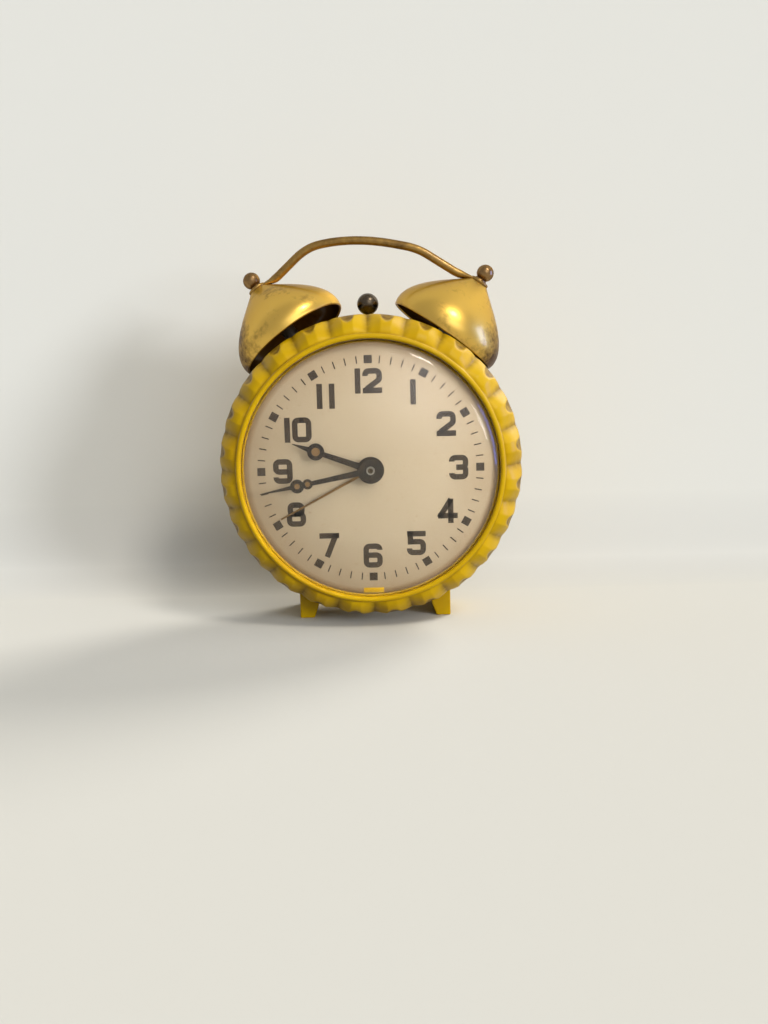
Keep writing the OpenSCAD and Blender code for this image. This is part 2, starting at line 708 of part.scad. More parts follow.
module front_plate() color(brass) {
    difference() {
        shaft(center, front_d, front_back_d, plate_r);
        plate_holes(front_d - 1, front_back_d + 1);
        for (p = [time_p, alarm_p]) shaft(p, front_d - 1, front_back_d + 1, wind_r - 0.5 + fit);
        for (a = dial_foot_angles) shaft(polar(dial_foot_ring, a), front_d - 1, front_back_d + 1, 1 + seat);
    }
    shaft(minute_p, hour_d - 0.3, front_d, arbor_r - 0.1);
}

module back_plate() color(brass) {
    difference() {
        union() {
            shaft(center, back_d, back_back_d, plate_r);
            shaft(balance_p, regulator_d - 0.1, back_d, bush_r);
            shaft(stop_p, back_back_d, back_back_d + 2.2, 1);
        }
        plate_holes(regulator_d - 1, back_back_d + 1);
        for (p = [time_p, alarm_p]) shaft(p, back_d - 1, back_back_d + 1, wind_r + fit);
    }
}

module plate_pillars() color(brass) for (a = pillar_angles) {
    shaft(polar(pillar_ring, a), front_back_d, back_d, pillar_r);
    shaft(polar(pillar_ring, a), front_d - nut_t, front_back_d, stub_r);
    shaft(polar(pillar_ring, a), back_d, back_back_d + stub_len, stub_r);
}

module hex_sleeve(p, from, to) difference() {
    slab(p, from, to) circle(nut_r, $fn = 6);
    shaft(p, from - 1, to + 1, stub_r + seat);
}

module pillar_nuts() color(steel) for (a = pillar_angles)
    hex_sleeve(polar(pillar_ring, a), front_d - nut_t, front_d);

module cover_standoffs() color(steel) for (a = pillar_angles)
    hex_sleeve(polar(pillar_ring, a), back_back_d, cover_d);

module dial_feet() color(brass) for (a = dial_foot_angles) {
    shaft(polar(dial_foot_ring, a), dial_back_d, front_d, 1.5);
    shaft(polar(dial_foot_ring, a), front_d, front_back_d, 1);
}

// Springs
module mainspring(p, width, pillar) {
    inner = wind_r + 0.15 + spring_t / 2;
    line = heading(p, pillar);
    far = norm(pillar - p);
    slab(p, spring_d, spring_d + width) {
        polygon(spiral(inner, spring_r, spring_turns, spring_turns, spring_t, line, 16));
        bar(polar(spring_r, line), polar(far - pillar_r - seat - spring_t / 2, line), spring_t, spring_t);
        translate(polar(far, line)) difference() {
            circle(pillar_r + seat + spring_t);
            circle(pillar_r + seat);
        }
    }
}

module time_mainspring() color(steel)
    mainspring(time_p, spring_w, polar(pillar_ring, pillar_angles[1]));
module alarm_mainspring() color(steel)
    mainspring(alarm_p, alarm_spring_w, polar(pillar_ring, pillar_angles[0]));

module hairspring() color(steel) {
    turns = 4;
    slab(balance_p, hair_d, hair_d + 0.7)
        polygon(spiral(arbor_r + 0.6, hair_r, turns, turns + 0.5, hair_t, regulator_heading - 90, 32));
    shaft(balance_p + polar(hair_r, regulator_heading + 90), hair_d - 0.1, back_d, 0.6);
}

module alarm_release_spring() color(steel) {
    foot_p = [15, 6];
    slab(center, hour_d + wheel_t + 0.2, hour_d + wheel_t + 0.5) {
        bar(foot_p, polar(5.2, 15), 3, 2);
        translate(foot_p) circle(2.2);
        translate(polar(5.2, 15)) circle(1);
    }
    shaft(foot_p, hour_d + wheel_t + 0.5, front_d, 1.5);
}

// Winding: arbor, ratchet, key, great wheel and click for each spring
module wind_arbor(p) {
    shaft(p, front_d, front_back_d + 0.2, wind_r - 0.5);
    shaft(p, front_back_d + 0.2, key_d + key_grip, wind_r);
}

module ratchet(p, from) slab(p, from, from + ratchet_t) difference() {
    polygon(saw(ratchet_n, ratchet_r, 0.9, 0));
    circle(wind_r + seat);
}

module winding_key(p) {
    wing_t = 1.4;
    mid_d = depth - key_lobe - depth / 2;
    difference() {
        union() {
            shaft(p, key_d, depth - 2 * key_lobe + 1.9, wind_r + 1);
            translate([p[0], mid_d, axis_z + p[1] - wing_t / 2]) linear_extrude(wing_t) difference() {
                union() {
                    for (s = [-1, 1]) translate([s * key_half, 0]) circle(key_lobe);
                    translate([-key_half, -key_lobe + 0.8]) square([2 * key_half, 2 * key_lobe - 2]);
                }
                for (s = [-1, 1]) translate([s * key_half, 0]) circle(key_lobe * 0.45);
            }
        }
        shaft(p, key_d - 1, key_d + key_grip + 0.2, wind_r + seat);
    }
}

// The great wheel turns freely on the winding arbor and carries the click on a stud
module great_wheel(p, from, flip) {
    slab(p, from, from + great_t) difference() {
        crossed_wheel(great_n, great_m, 0, click_ring + 1.5, 5);
        circle(wind_r + fit);
    }
    shaft(p + click_at(flip), from + great_t - 0.5, from + great_t + 0.2 + ratchet_t, click_pin_r);
}

function click_at(flip) = polar(click_ring, flip ? 108 : 72);

module click(p, from, flip) slab(p, from, from + ratchet_t) difference() {
    pin = click_at(flip);
    union() {
        translate(pin) circle(1.5);
        bar(pin, polar(ratchet_r + 0.8, flip ? 68 : 112), 2, 1);
    }
    translate(pin) circle(click_pin_r + fit);
}

module time_arbor() color(steel) wind_arbor(time_p);
module alarm_arbor() color(steel) wind_arbor(alarm_p);
module time_ratchet() color(steel) ratchet(time_p, great_d + great_t + 0.2);
module alarm_ratchet() color(steel) ratchet(alarm_p, alarm_great_d + great_t + 0.2);
module time_key() color(brass) winding_key(time_p);
module alarm_key() color(brass) winding_key(alarm_p);
module time_great_wheel() color(brass) great_wheel(time_p, great_d, false);
module alarm_great_wheel() color(brass) great_wheel(alarm_p, alarm_great_d, true);
module time_click() color(steel) click(time_p, great_d + great_t + 0.2, false);
module alarm_click() color(steel) click(alarm_p, alarm_great_d + great_t + 0.2, true);

// Going train
module center_wheel() color(brass) difference() {
    union() {
        slab(center, center_d, center_d + wheel_t) crossed_wheel(center_n, center_m, 0, 3, 4);
        pinion(center, great_m, leaf_n, center_turn, great_d - pinion_over, great_d + great_t + pinion_over);
        shaft(center, front_d, back_back_d, sleeve_r);
    }
    shaft(center, front_d - 1, back_back_d + 1, center_r + fit);
}

module third_wheel() color(brass) {
    train_arbor(third_p);
    pinion(third_p, center_m, leaf_n, third_turn, center_d - pinion_over, center_d + wheel_t + pinion_over);
    slab(third_p, third_d, third_d + wheel_t) crossed_wheel(third_n, third_m, 0, 2.4, 4);
}

module fourth_wheel() color(brass) {
    train_arbor(fourth_p);
    pinion(fourth_p, third_m, leaf_n, fourth_turn, third_d - pinion_over, third_d + wheel_t + pinion_over);
    slab(fourth_p, fourth_d, fourth_d + wheel_t) crossed_wheel(fourth_n, fourth_m, 0, 2.2, 4);
}

module escape_wheel() color(brass) {
    train_arbor(escape_p);
    pinion(escape_p, fourth_m, leaf_n, escape_turn, fourth_d - pinion_over, fourth_d + wheel_t + pinion_over);
    slab(escape_p, escape_d, escape_d + wheel_t) difference() {
        polygon(saw(escape_n, escape_r, 1.2, 0));
        windows(1.6, escape_r - 2, 4, 0.8);
    }
}

// Pin-pallet lever: two pins by the escape wheel and a fork by the balance's roller
module pallet_lever() color(steel) {
    to_balance = heading(pallet_p, balance_p);
    to_escape = heading(escape_p, pallet_p);
    fork = norm(balance_p - pallet_p) - roller_ring - roller_pin_r - 0.2;
    train_arbor(pallet_p);
    slab(pallet_p, escape_d, escape_d + wheel_t) {
        circle(1.5);
        bar([0, 0], polar(fork - 1.6, to_balance), 1.6, 1);
        for (s = [-1, 1]) bar(polar(fork - 2, to_balance), polar(fork, to_balance + s * 7), 0.9, 0.6);
    }
    for (s = [-1, 1]) {
        pin = escape_p + polar(pallet_pin_ring, to_escape + s * 36);
        slab(center, escape_d + wheel_t + 0.2, escape_d + 2 * wheel_t + 0.2) {
            bar(pallet_p, pin, 1.6, 1);
            translate(pin) circle(0.6);
        }
        shaft(pin, escape_d - 0.1, escape_d + wheel_t + 0.3, pallet_pin_r);
    }
    shaft(pallet_p, escape_d + wheel_t - 0.1, escape_d + 2 * wheel_t + 0.2, 1.5);
}

module balance_wheel() color(brass) {
    train_arbor(balance_p, regulator_d - 0.3);
    slab(balance_p, balance_d, balance_d + 1.2) difference() {
        circle(balance_r);
        windows(1.8, balance_r - 1.2, 2, 1.4);
    }
    shaft(balance_p, escape_d + wheel_t + 0.2, escape_d + wheel_t + 1, roller_ring + 0.7);
    shaft(balance_p + polar(roller_ring, 75), escape_d - 0.2, escape_d + wheel_t + 0.5, roller_pin_r);
    shaft(balance_p, hair_d - 0.3, hair_d + 0.9, arbor_r + 0.4);
}

// The regulator's arm turns on a bush and its tail comes out through the back cover
module regulator() color(brass) {
    tip = balance_p + polar(regulator_arm, regulator_heading);
    slab(center, regulator_d, regulator_d + 0.8) difference() {
        union() {
            translate(balance_p) circle(bush_r + 1.4);
            bar(balance_p, tip, 2.4, 1.4);
            translate(tip) circle(1);
        }
        translate(balance_p) circle(bush_r + fit);
    }
    for (r = [hair_r - curb_off, hair_r + curb_off])
        shaft(balance_p + polar(r, regulator_heading), hair_d, regulator_d + 0.2, curb_r);
    shaft(tip, regulator_d, cover_back_d + 1.6, 0.7);
}

// Hands and motion work
module center_arbor() color(steel) shaft(center, minute_hand_d - 0.6, key_d + knob_grip, center_r);

module cannon_pinion() color(steel) difference() {
    union() {
        pinion(center, minute_m, cannon_n, 0, cannon_d - pinion_over, cannon_d + wheel_t + pinion_over);
        shaft(center, minute_hand_d - 0.4, cannon_d, cannon_r);
    }
    shaft(center, minute_hand_d - 1, front_d, center_r + seat);
}

// A hand drawn pointing up, then turned clockwise to its angle
module hand_at(angle, from) slab(center, from, from + hand_t) rotate(-angle) children();

module minute_hand() color(black) hand_at(minute_angle, minute_hand_d) {
    inner_r = 1.6;
    outer_r = 2.15;
    outer = 0.665 * minute_len;
    inner = outer - 0.88 * (inner_r + outer_r);
    difference() {
        union() {
            circle(3.6);
            bar([0, 0], [0, inner + 0.65 * inner_r], 2, 1.3);
            bar([0, outer + 0.24 * outer_r], [0, minute_len], 1.4, 0.2);
            translate([0, inner]) circle(inner_r);
            translate([0, outer]) circle(outer_r);
        }
        circle(cannon_r + seat);
        translate([0, inner]) circle(inner_r / 2);
        translate([0, outer]) circle(0.4 * outer_r);
    }
}

module hour_hand() color(black) difference() {
    union() {
        hand_at(hour_angle, hour_hand_d) difference() {
            union() {
                circle(4.2);
                bar([0, 0], [0, 0.66 * hour_len], 2.2, 1.5);
                bar([0, 0.75 * hour_len], [0, hour_len], 1.9, 0.2);
                translate([0, 0.7 * hour_len]) circle(2.65);
            }
            translate([0, 0.7 * hour_len]) circle(1.3);
        }
        shaft(center, hour_hand_d, hour_hand_d + hand_t + 0.4, hour_out + 0.8);
    }
    shaft(center, hour_hand_d - 1, hour_hand_d + hand_t + 1, hour_out + seat);
}

module alarm_hand() color(old_brass) hand_at(alarm_angle, alarm_hand_d) difference() {
    union() {
        circle(alarm_out + 0.8);
        bar([0, 0], [0, alarm_len], 0.9, 0.5);
    }
    circle(alarm_out + seat);
}

module minute_wheel() color(brass) difference() {
    union() {
        slab(minute_p, cannon_d, cannon_d + wheel_t) crossed_wheel(minute_n, minute_m, minute_turn, 2.2, 3);
        pinion(minute_p, minute_leaf_m, minute_leaf_n, minute_turn, hour_d - 0.1, cannon_d + 0.1);
    }
    shaft(minute_p, hour_d - 1, front_d, arbor_r - 0.1 + fit);
}

module hour_wheel() color(brass) difference() {
    union() {
        slab(center, hour_d, hour_d + wheel_t) polygon(teeth(hour_n, minute_leaf_m, wheel_teeth, hour_turn));
        shaft(center, hour_hand_d - 0.2, hour_d, hour_out);
    }
    shaft(center, hour_hand_d - 1, cannon_d, hour_in);
}

module alarm_wheel() color(brass) difference() {
    union() {
        slab(center, alarm_d, alarm_d + wheel_t) crossed_wheel(alarm_n, alarm_m, alarm_turn, 4.2, 4);
        shaft(center, alarm_hand_d - 0.2, alarm_d, alarm_out);
    }
    shaft(center, alarm_hand_d - 1, hour_d, alarm_in);
}

module knob(p, r, bore, length) difference() {
    shaft(p, key_d, key_d + length, r);
    for (i = [0:17]) shaft(p + polar(r + 0.4, i * 20), key_d + 1, key_d + length + 1, 0.8);
    shaft(p, key_d - 1, key_d + knob_grip + 0.2, bore + seat);
}

module set_knob() color(brass) knob(center, set_knob_r, center_r, knob_len);

module alarm_set_arbor() color(steel) {
    shaft(set_p, alarm_d - pinion_over, key_d + knob_grip, arbor_r);
    pinion(set_p, alarm_m, set_n, 0, alarm_d - pinion_over, alarm_d + wheel_t + pinion_over);
    for (d = [front_back_d + 0.2, back_d - 1.2]) shaft(set_p, d, d + 1, arbor_r + 0.5);
}

module alarm_set_knob() color(brass) knob(set_p, alarm_knob_r, arbor_r, knob_len);

// Alarm train and hammer
module alarm_escape_wheel() color(brass) {
    train_arbor(strike_p);
    pinion(strike_p, great_m, leaf_n, strike_turn, alarm_great_d - pinion_over,
        alarm_great_d + great_t + pinion_over);
    slab(strike_p, strike_d, strike_d + wheel_t) difference() {
        polygon(saw(escape_n, strike_r, 1.4, 0));
        windows(2, strike_r - 2.4, 4, 1);
    }
}

// The hammer's arbor with the verge that the alarm escape wheel rocks
module hammer_arbor() color(steel) {
    to_strike = heading(hammer_p, strike_p);
    reach_in = norm(strike_p - hammer_p) - strike_r - 0.6;
    train_arbor(hammer_p);
    slab(hammer_p, strike_d, strike_d + wheel_t) {
        circle(1.8);
        for (s = [-1, 1]) bar([0, 0], polar(reach_in, to_strike + s * 28), 1.6, 0.8);
    }
}

module hammer_rod() color(steel) difference() {
    union() {
        shaft(hammer_p, post_d - hub_len, post_d + 1.5, 2.2);
        round_axis(0) translate([0, post_d, hammer_z]) cylinder(r = rod_r, h = head_z - hammer_z);
    }
    shaft(hammer_p, strike_d, post_d + 3, arbor_r + seat);
}

module hammer_head() color("#3c3a36") round_axis(0) translate([0, post_d, 0]) difference() {
    translate([0, 0, head_z]) sphere(r = head_r);
    translate([0, 0, head_z - head_r - 1]) cylinder(r = rod_r + seat, h = head_r + 1.1);
}

// The stop lever turns on a stud of the back plate and its button comes out through the cover
module alarm_stop() color(brass) {
    tip = stop_p + polar(stop_arm, stop_heading);
    slab(center, back_back_d + 0.3, back_back_d + 1.5) difference() {
        union() {
            translate(stop_p) circle(2.4);
            bar(stop_p, tip, 3, 2.4);
            translate(tip) circle(1.4);
            bar(stop_p, stop_p + polar(8, 200), 3, 1.6);
        }
        translate(stop_p) circle(1 + fit);
    }
    shaft(tip, back_back_d + 0.3, key_d + 2, 1);
    shaft(tip, key_d, key_d + 2.2, 2.2);
}

case_drum();
bezel();
crystal();
dial();
back_cover();
cover_screws();
foot_left();
foot_right();
bell_post_left();
bell_post_right();
bell_left();
bell_right();
handle();
ball_nut_left();
ball_nut_right();
post_nuts();
front_plate();
back_plate();
plate_pillars();
pillar_nuts();
cover_standoffs();
dial_feet();
time_mainspring();
alarm_mainspring();
hairspring();
alarm_release_spring();
time_arbor();
time_ratchet();
time_key();
time_great_wheel();
time_click();
center_wheel();
third_wheel();
fourth_wheel();
escape_wheel();
pallet_lever();
balance_wheel();
regulator();
center_arbor();
cannon_pinion();
minute_hand();
set_knob();
minute_wheel();
hour_wheel();
hour_hand();
alarm_set_arbor();
alarm_set_knob();
alarm_wheel();
alarm_hand();
alarm_arbor();
alarm_ratchet();
alarm_key();
alarm_great_wheel();
alarm_click();
alarm_escape_wheel();
hammer_arbor();
hammer_rod();
hammer_head();
alarm_stop();
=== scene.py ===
"""Looks of a mechanical twin-bell alarm clock, built round its CAD frame.

Laid out as an add-on: each operator makes one piece, or one group of like pieces. Lengths are metres, and MM
turns a size in millimetres into them. A depth runs back from the tip of the domed crystal.
"""

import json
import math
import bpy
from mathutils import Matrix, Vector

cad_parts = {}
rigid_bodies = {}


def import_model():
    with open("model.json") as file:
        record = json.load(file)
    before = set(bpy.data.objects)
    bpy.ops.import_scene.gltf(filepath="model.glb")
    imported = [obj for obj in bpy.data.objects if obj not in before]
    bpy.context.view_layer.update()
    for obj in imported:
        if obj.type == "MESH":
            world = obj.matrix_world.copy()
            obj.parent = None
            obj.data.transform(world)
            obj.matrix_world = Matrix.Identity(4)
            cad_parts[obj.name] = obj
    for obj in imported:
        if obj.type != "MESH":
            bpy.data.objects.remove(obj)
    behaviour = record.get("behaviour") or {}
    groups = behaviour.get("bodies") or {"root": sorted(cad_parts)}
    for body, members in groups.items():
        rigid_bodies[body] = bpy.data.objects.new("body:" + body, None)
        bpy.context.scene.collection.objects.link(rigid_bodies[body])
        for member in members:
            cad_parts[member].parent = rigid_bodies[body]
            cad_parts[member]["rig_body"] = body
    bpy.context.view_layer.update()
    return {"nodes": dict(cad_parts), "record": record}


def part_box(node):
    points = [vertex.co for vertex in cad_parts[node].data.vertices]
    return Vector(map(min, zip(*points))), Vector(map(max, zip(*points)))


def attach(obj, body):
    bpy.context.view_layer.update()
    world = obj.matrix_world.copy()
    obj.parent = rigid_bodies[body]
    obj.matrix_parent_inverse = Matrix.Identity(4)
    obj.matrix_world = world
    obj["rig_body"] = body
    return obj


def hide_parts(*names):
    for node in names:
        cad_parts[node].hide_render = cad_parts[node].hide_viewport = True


bl_info = {
    "name": "Twin-Bell Alarm Clock",
    "version": (1, 0, 0),
    "blender": (4, 5, 0),
    "location": "View3D > Sidebar > Clock",
    "description": "Dresses the frame of a twin-bell alarm clock with its bezel, dial, bells and finishes",
    "category": "Add Mesh",
}

import bmesh
import bpy
from bpy.props import FloatProperty, FloatVectorProperty, IntProperty, PointerProperty
from mathutils import Matrix, Vector

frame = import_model()
MM = 0.001

# The clock's own frame: x to the right, y down and z back from the tip of the crystal
GLASS_LOW, GLASS_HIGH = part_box("crystal")
FRONT = GLASS_LOW.y
AXIS = (GLASS_LOW.z + GLASS_HIGH.z) / 2
CLOCK = Matrix.Translation((0, FRONT, AXIS)) @ Matrix.Rotation(math.radians(-90), 4, "X")
SLOT_OF = {row["node"]: row["material_slot"] for row in frame["record"]["subparts"]}


# Values


def linear(code):
    """An sRGB hex colour as linear RGBA."""
    parts = [int(code[i:i + 2], 16) / 255 for i in (1, 3, 5)]
    return tuple(c / 12.92 if c <= 0.04045 else ((c + 0.055) / 1.055) ** 2.4 for c in parts) + (1.0,)


def length(name, description, mm):
    return FloatProperty(name=name, description=description, default=mm * MM, unit="LENGTH", precision=4)


def angle(name, description, degrees):
    return FloatProperty(name=name, description=description, default=math.radians(degrees), subtype="ANGLE")


def colour(name, description, code):
    return FloatVectorProperty(
        name=name, description=description, default=linear(code), size=4, min=0, max=1, subtype="COLOR"
    )


class ClockSizes(bpy.types.PropertyGroup):
    """Sizes of the pieces that are modelled here."""

    petals: IntProperty(name="Petals", description="Petals round the bezel", default=24, min=3)
    opening: length("Opening", "Radius of the opening in the bezel", 40.3)
    bead: length("Bead", "Radius of the bead round the opening", 0.8)
    rim: length("Rim", "Radius of the bezel over its petals", 47.76)
    crease: length("Crease", "Depth of the crease between two petals, pressed straight back", 3.4)
    notch: length("Notch", "Depth of the notch that a crease leaves in the rim", 0.25)
    scoop: length("Scoop", "Depth of the dent in the middle of a petal at the rim", 2.0)
    lip_depth: length("Lip depth", "Depth of the front of the bead", 9.5)
    dial_depth: length("Dial depth", "Depth of the dial's front", 11.9)
    dial_radius: length("Dial radius", "Radius of the dial", 41.4)
    figure_height: length("Figure height", "Height of the dial's figures", 7.7)
    figure_width: length("Figure width", "Width of one figure", 6.0)
    figure_stroke: length("Figure stroke", "Width of a figure's stroke", 1.72)
    minute_track: length("Minute track", "Radius of the minute track", 34.0)
    bell_radius: length("Bell radius", "Radius of a bell at its mouth", 18.8)
    bell_height: length("Bell height", "Height of a bell", 20.8)
    bell_wall: length("Bell wall", "Sheet thickness of a bell", 0.8)
    bell_angle: angle("Bell angle", "Angle of each bell's post from upright", 31.0)
    bell_cant: angle("Bell cant", "Further outward cant of each bell where its post bends", 5.0)
    lean_left: angle("Left lean", "Backward lean of the left bell", 13.0)
    lean_right: angle("Right lean", "Backward lean of the right bell", 5.0)
    post_depth: length("Post depth", "Depth of the bell posts and the hammer", 38.4)
    post_bend: length("Post bend", "Distance from the clock's axis to the bend of a bell post", 45.5)
    post_rise: length("Post rise", "Length of a post from its bend to the mouth of its bell", 1.0)
    wire: length("Wire", "Radius of the handle's wire", 1.38)
    eye: length("Eye", "Radius of the handle's flattened eyes", 3.2)
    eye_sheet: length("Eye sheet", "Thickness of the handle's flattened eyes", 1.0)
    ball: length("Ball", "Radius of the ball on a bell nut", 2.8)
    hammer: length("Hammer", "Radius of the hammer's ball", 3.5)
    edge: length("Edge", "Width of the broken edges on stamped and turned pieces", 0.18)


class ClockColours(bpy.types.PropertyGroup):
    """Colours of the finishes."""

    enamel: colour("Enamel", "Yellow stoving enamel", "#CCA400")
    ochre: colour("Ochre", "Enamel where it has yellowed and thinned", "#B08400")
    # the grime colour is both old dirt and painted shade in the bezel's creases and by its bead
    grime: colour("Grime", "Old dirt in the creases", "#5A3C02")
    bare: colour("Bare metal", "Browned metal that shows where the enamel has worn off", "#6E5212")
    brass: colour("Brass", "Bell brass", "#DEB552")
    wire: colour("Wire", "Brass of the handle", "#A3803F")
    # the tarnish colour also paints shade on the outer side of each bell
    tarnish: colour("Tarnish", "Brown tarnish on the brass", "#5A3F1C")
    bronze: colour("Bronze", "Darkened brass of the ball nuts", "#8E6E42")
    gunmetal: colour("Gunmetal", "Browned steel of the hammer", "#5E5344")
    ivory: colour("Ivory", "Lacquer of the dial", "#B4A893")
    # the smoke colour is the dial's stains and dust, and the painted shade in a ring by its edge
    smoke: colour("Smoke", "Browned edge of the dial", "#84673F")
    ink: colour("Ink", "Print on the dial", "#33291F")
    paste: colour("Paste", "Luminous paste that has browned in the eyes of the hands", "#7E6440")
    lacquer: colour("Lacquer", "Black lacquer of the hands", "#1B1510")
    steel: colour("Steel", "Plain steel", "#A9A8A4")
    blued: colour("Blued steel", "Blued spring steel", "#4A5566")
    plate: colour("Plate brass", "Brass of the movement", "#C9A252")
    stage: colour("Stage", "Floor and backdrop", "#E6E6DE")


def sizes():
    return bpy.context.scene.clock_sizes


def colours():
    return bpy.context.scene.clock_colours


# Materials


def feed(node, links):
    """Links the sockets that feed a node."""
    for key, source in links.items():
        node.id_data.links.new(source, node.inputs[key])


def add(tree, kind, settings=None, links=None):
    """Adds a shader node, sets its properties or its sockets' values, and links sockets that feed it."""
    node = tree.nodes.new("ShaderNode" + kind)
    for key, value in (settings or {}).items():
        if isinstance(key, str) and hasattr(node, key):
            setattr(node, key, value)
        else:
            node.inputs[key].default_value = value
    feed(node, links or {})
    return node


def surface(name, settings):
    """A new material with one Principled shader: (material, tree, shader, Object coordinates)."""
    made = bpy.data.materials.new(name)
    made.use_nodes = True
    tree = made.node_tree
    tree.nodes.clear()
    shader = add(tree, "BsdfPrincipled", settings)
    add(tree, "OutputMaterial", links={"Surface": shader.outputs[0]})
    return made, tree, shader, add(tree, "TexCoord").outputs["Object"]


def show_mix(tree, share, shader, other):
    """Puts a mix of two shaders on a material's surface."""
    both = add(tree, "MixShader", links={0: share, 1: shader.outputs[0], 2: other.outputs[0]})
    outlet = next(n for n in tree.nodes if n.type == "OUTPUT_MATERIAL")
    feed(outlet, {"Surface": both.outputs[0]})


def per_mm(size):
    """Scale of a texture whose features are that many millimetres wide."""
    return 1 / (size * MM)


def stoved_enamel():
    """Yellow enamel stoved on pressed steel: an even sheen, dirt and painted shade in the creases, edges worn
    to the metal.
    """
    c = colours()
    made, tree, shader, place = surface("stoved_enamel", {"IOR": 1.5, "Specular IOR Level": 0.2})
    blotch = add(tree, "TexNoise", {"Scale": per_mm(14), "Detail": 4.0}, {"Vector": place}).outputs["Fac"]
    faded = add(
        tree, "MapRange", {"From Min": 0.45, "From Max": 0.8, "To Max": 0.55}, {"Value": blotch}
    ).outputs[0]
    tone = add(tree, "Mix", {"data_type": "RGBA", 6: c.enamel, 7: c.ochre}, {0: faded}).outputs[2]
    # dirt and painted shade lie in the creases, broken into patches about 2 mm across
    patch = add(tree, "TexNoise", {"Scale": per_mm(2.2), "Detail": 5.0}, {"Vector": place}).outputs["Fac"]
    deep = add(tree, "Attribute", {"attribute_name": "grime"}).outputs["Fac"]
    uneven = add(
        tree, "MapRange", {"From Min": 0.3, "From Max": 0.7, "To Min": 0.45}, {"Value": patch}
    ).outputs[0]
    dirt_and_shade = add(tree, "Math", {"operation": "MULTIPLY"}, {0: deep, 1: uneven}).outputs[0]
    soiled_and_shaded = add(tree, "Mix", {"data_type": "RGBA", 7: c.grime}, {0: dirt_and_shade, 6: tone}).outputs[2]
    # worn edges break up into chips under a millimetre wide
    chip = add(tree, "TexNoise", {"Scale": per_mm(0.9), "Detail": 4.0}, {"Vector": place}).outputs["Fac"]
    rubbed = add(tree, "Attribute", {"attribute_name": "wear"}).outputs["Fac"]
    ragged = add(tree, "Math", {"operation": "MULTIPLY_ADD", 1: 0.9, 2: -0.45}, {0: chip}).outputs[0]
    mark_level = add(tree, "Math", {"operation": "ADD"}, {0: rubbed, 1: ragged}).outputs[0]
    gone = add(tree, "MapRange", {"From Min": 0.5, "From Max": 0.62}, {"Value": mark_level}).outputs[0]
    paint = add(tree, "Mix", {"data_type": "RGBA", 7: c.bare}, {0: gone, 6: soiled_and_shaded}).outputs[2]
    gloss = add(
        tree, "MapRange", {"From Min": 0.3, "From Max": 0.7, "To Min": 0.32, "To Max": 0.48}, {"Value": patch}
    ).outputs[0]
    # orange peel of the enamel, drawn at 1.6 mm so that it shows
    peel = add(tree, "TexNoise", {"Scale": per_mm(1.6), "Detail": 2.0}, {"Vector": place}).outputs["Fac"]
    rise = add(tree, "Math", {"operation": "MULTIPLY_ADD", 1: -0.6}, {0: gone, 2: peel}).outputs[0]
    bump = add(tree, "Bump", {"Strength": 0.25, "Distance": 0.06 * MM}, {"Height": rise}).outputs[0]
    feed(shader, {"Base Color": paint, "Roughness": gloss, "Normal": bump})
    return made


def tarnished_brass(name, base, share, gloss):
    """Spun or drawn brass under worn lacquer: satin metal, white glints, brown clouds and dark specks."""
    # lacquer gives the white glints, and old brass stays dull where it turns away from the eye
    lacquer = {"Coat Weight": 0.4, "Coat Roughness": 0.12}
    dull_edge = linear("#B2A291")
    made, tree, shader, place = surface(name, {"Metallic": 1.0, "Specular Tint": dull_edge, **lacquer})
    cloud = add(
        tree, "TexNoise", {"Scale": per_mm(11), "Detail": 6.0, "Roughness": 0.6}, {"Vector": place}
    ).outputs["Fac"]
    fleck = add(tree, "TexNoise", {"Scale": per_mm(1.3), "Detail": 4.0}, {"Vector": place}).outputs["Fac"]
    both = add(tree, "Math", {"operation": "MULTIPLY_ADD", 1: 0.35}, {0: fleck, 2: cloud}).outputs[0]
    # more of it is brown where a bell is marked: tarnish, and painted shade on each bell's outer side
    mark_level = add(tree, "Attribute", {"attribute_name": "grime"}).outputs["Fac"]
    stain_and_shade = add(tree, "Math", {"operation": "MULTIPLY_ADD", 1: 0.35}, {0: mark_level, 2: both}).outputs[0]
    brown = add(
        tree, "MapRange", {"From Min": 0.85 - share, "From Max": 1.15 - share * 0.6}, {"Value": stain_and_shade}
    ).outputs[0]
    tone = add(tree, "Mix", {"data_type": "RGBA", 6: base, 7: colours().tarnish}, {0: brown}).outputs[2]
    rough = add(tree, "MapRange", {"To Min": gloss, "To Max": gloss + 0.25}, {"Value": brown}).outputs[0]
    bump = add(tree, "Bump", {"Strength": 0.2, "Distance": 0.03 * MM}, {"Height": fleck}).outputs[0]
    feed(shader, {"Base Color": tone, "Roughness": rough, "Normal": bump})
    return made


def machined_metal(name, base, shade, gloss, grain):
    """Turned, rolled or stamped metal: a fine grain of tool marks over a slightly uneven tone."""
    made, tree, shader, place = surface(name, {"Metallic": 1.0})
    tooth = add(tree, "TexNoise", {"Scale": per_mm(grain), "Detail": 3.0}, {"Vector": place}).outputs["Fac"]
    cloud = add(tree, "TexNoise", {"Scale": per_mm(9), "Detail": 3.0}, {"Vector": place}).outputs["Fac"]
    dull = add(
        tree, "MapRange", {"From Min": 0.4, "From Max": 0.75, "To Max": 0.6}, {"Value": cloud}
    ).outputs[0]
    tone = add(tree, "Mix", {"data_type": "RGBA", 6: base, 7: shade}, {0: dull}).outputs[2]
    rough = add(tree, "MapRange", {"To Min": gloss, "To Max": gloss + 0.2}, {"Value": tooth}).outputs[0]
    bump = add(tree, "Bump", {"Strength": 0.12, "Distance": 0.02 * MM}, {"Height": tooth}).outputs[0]
    feed(shader, {"Base Color": tone, "Roughness": rough, "Normal": bump})
    return made


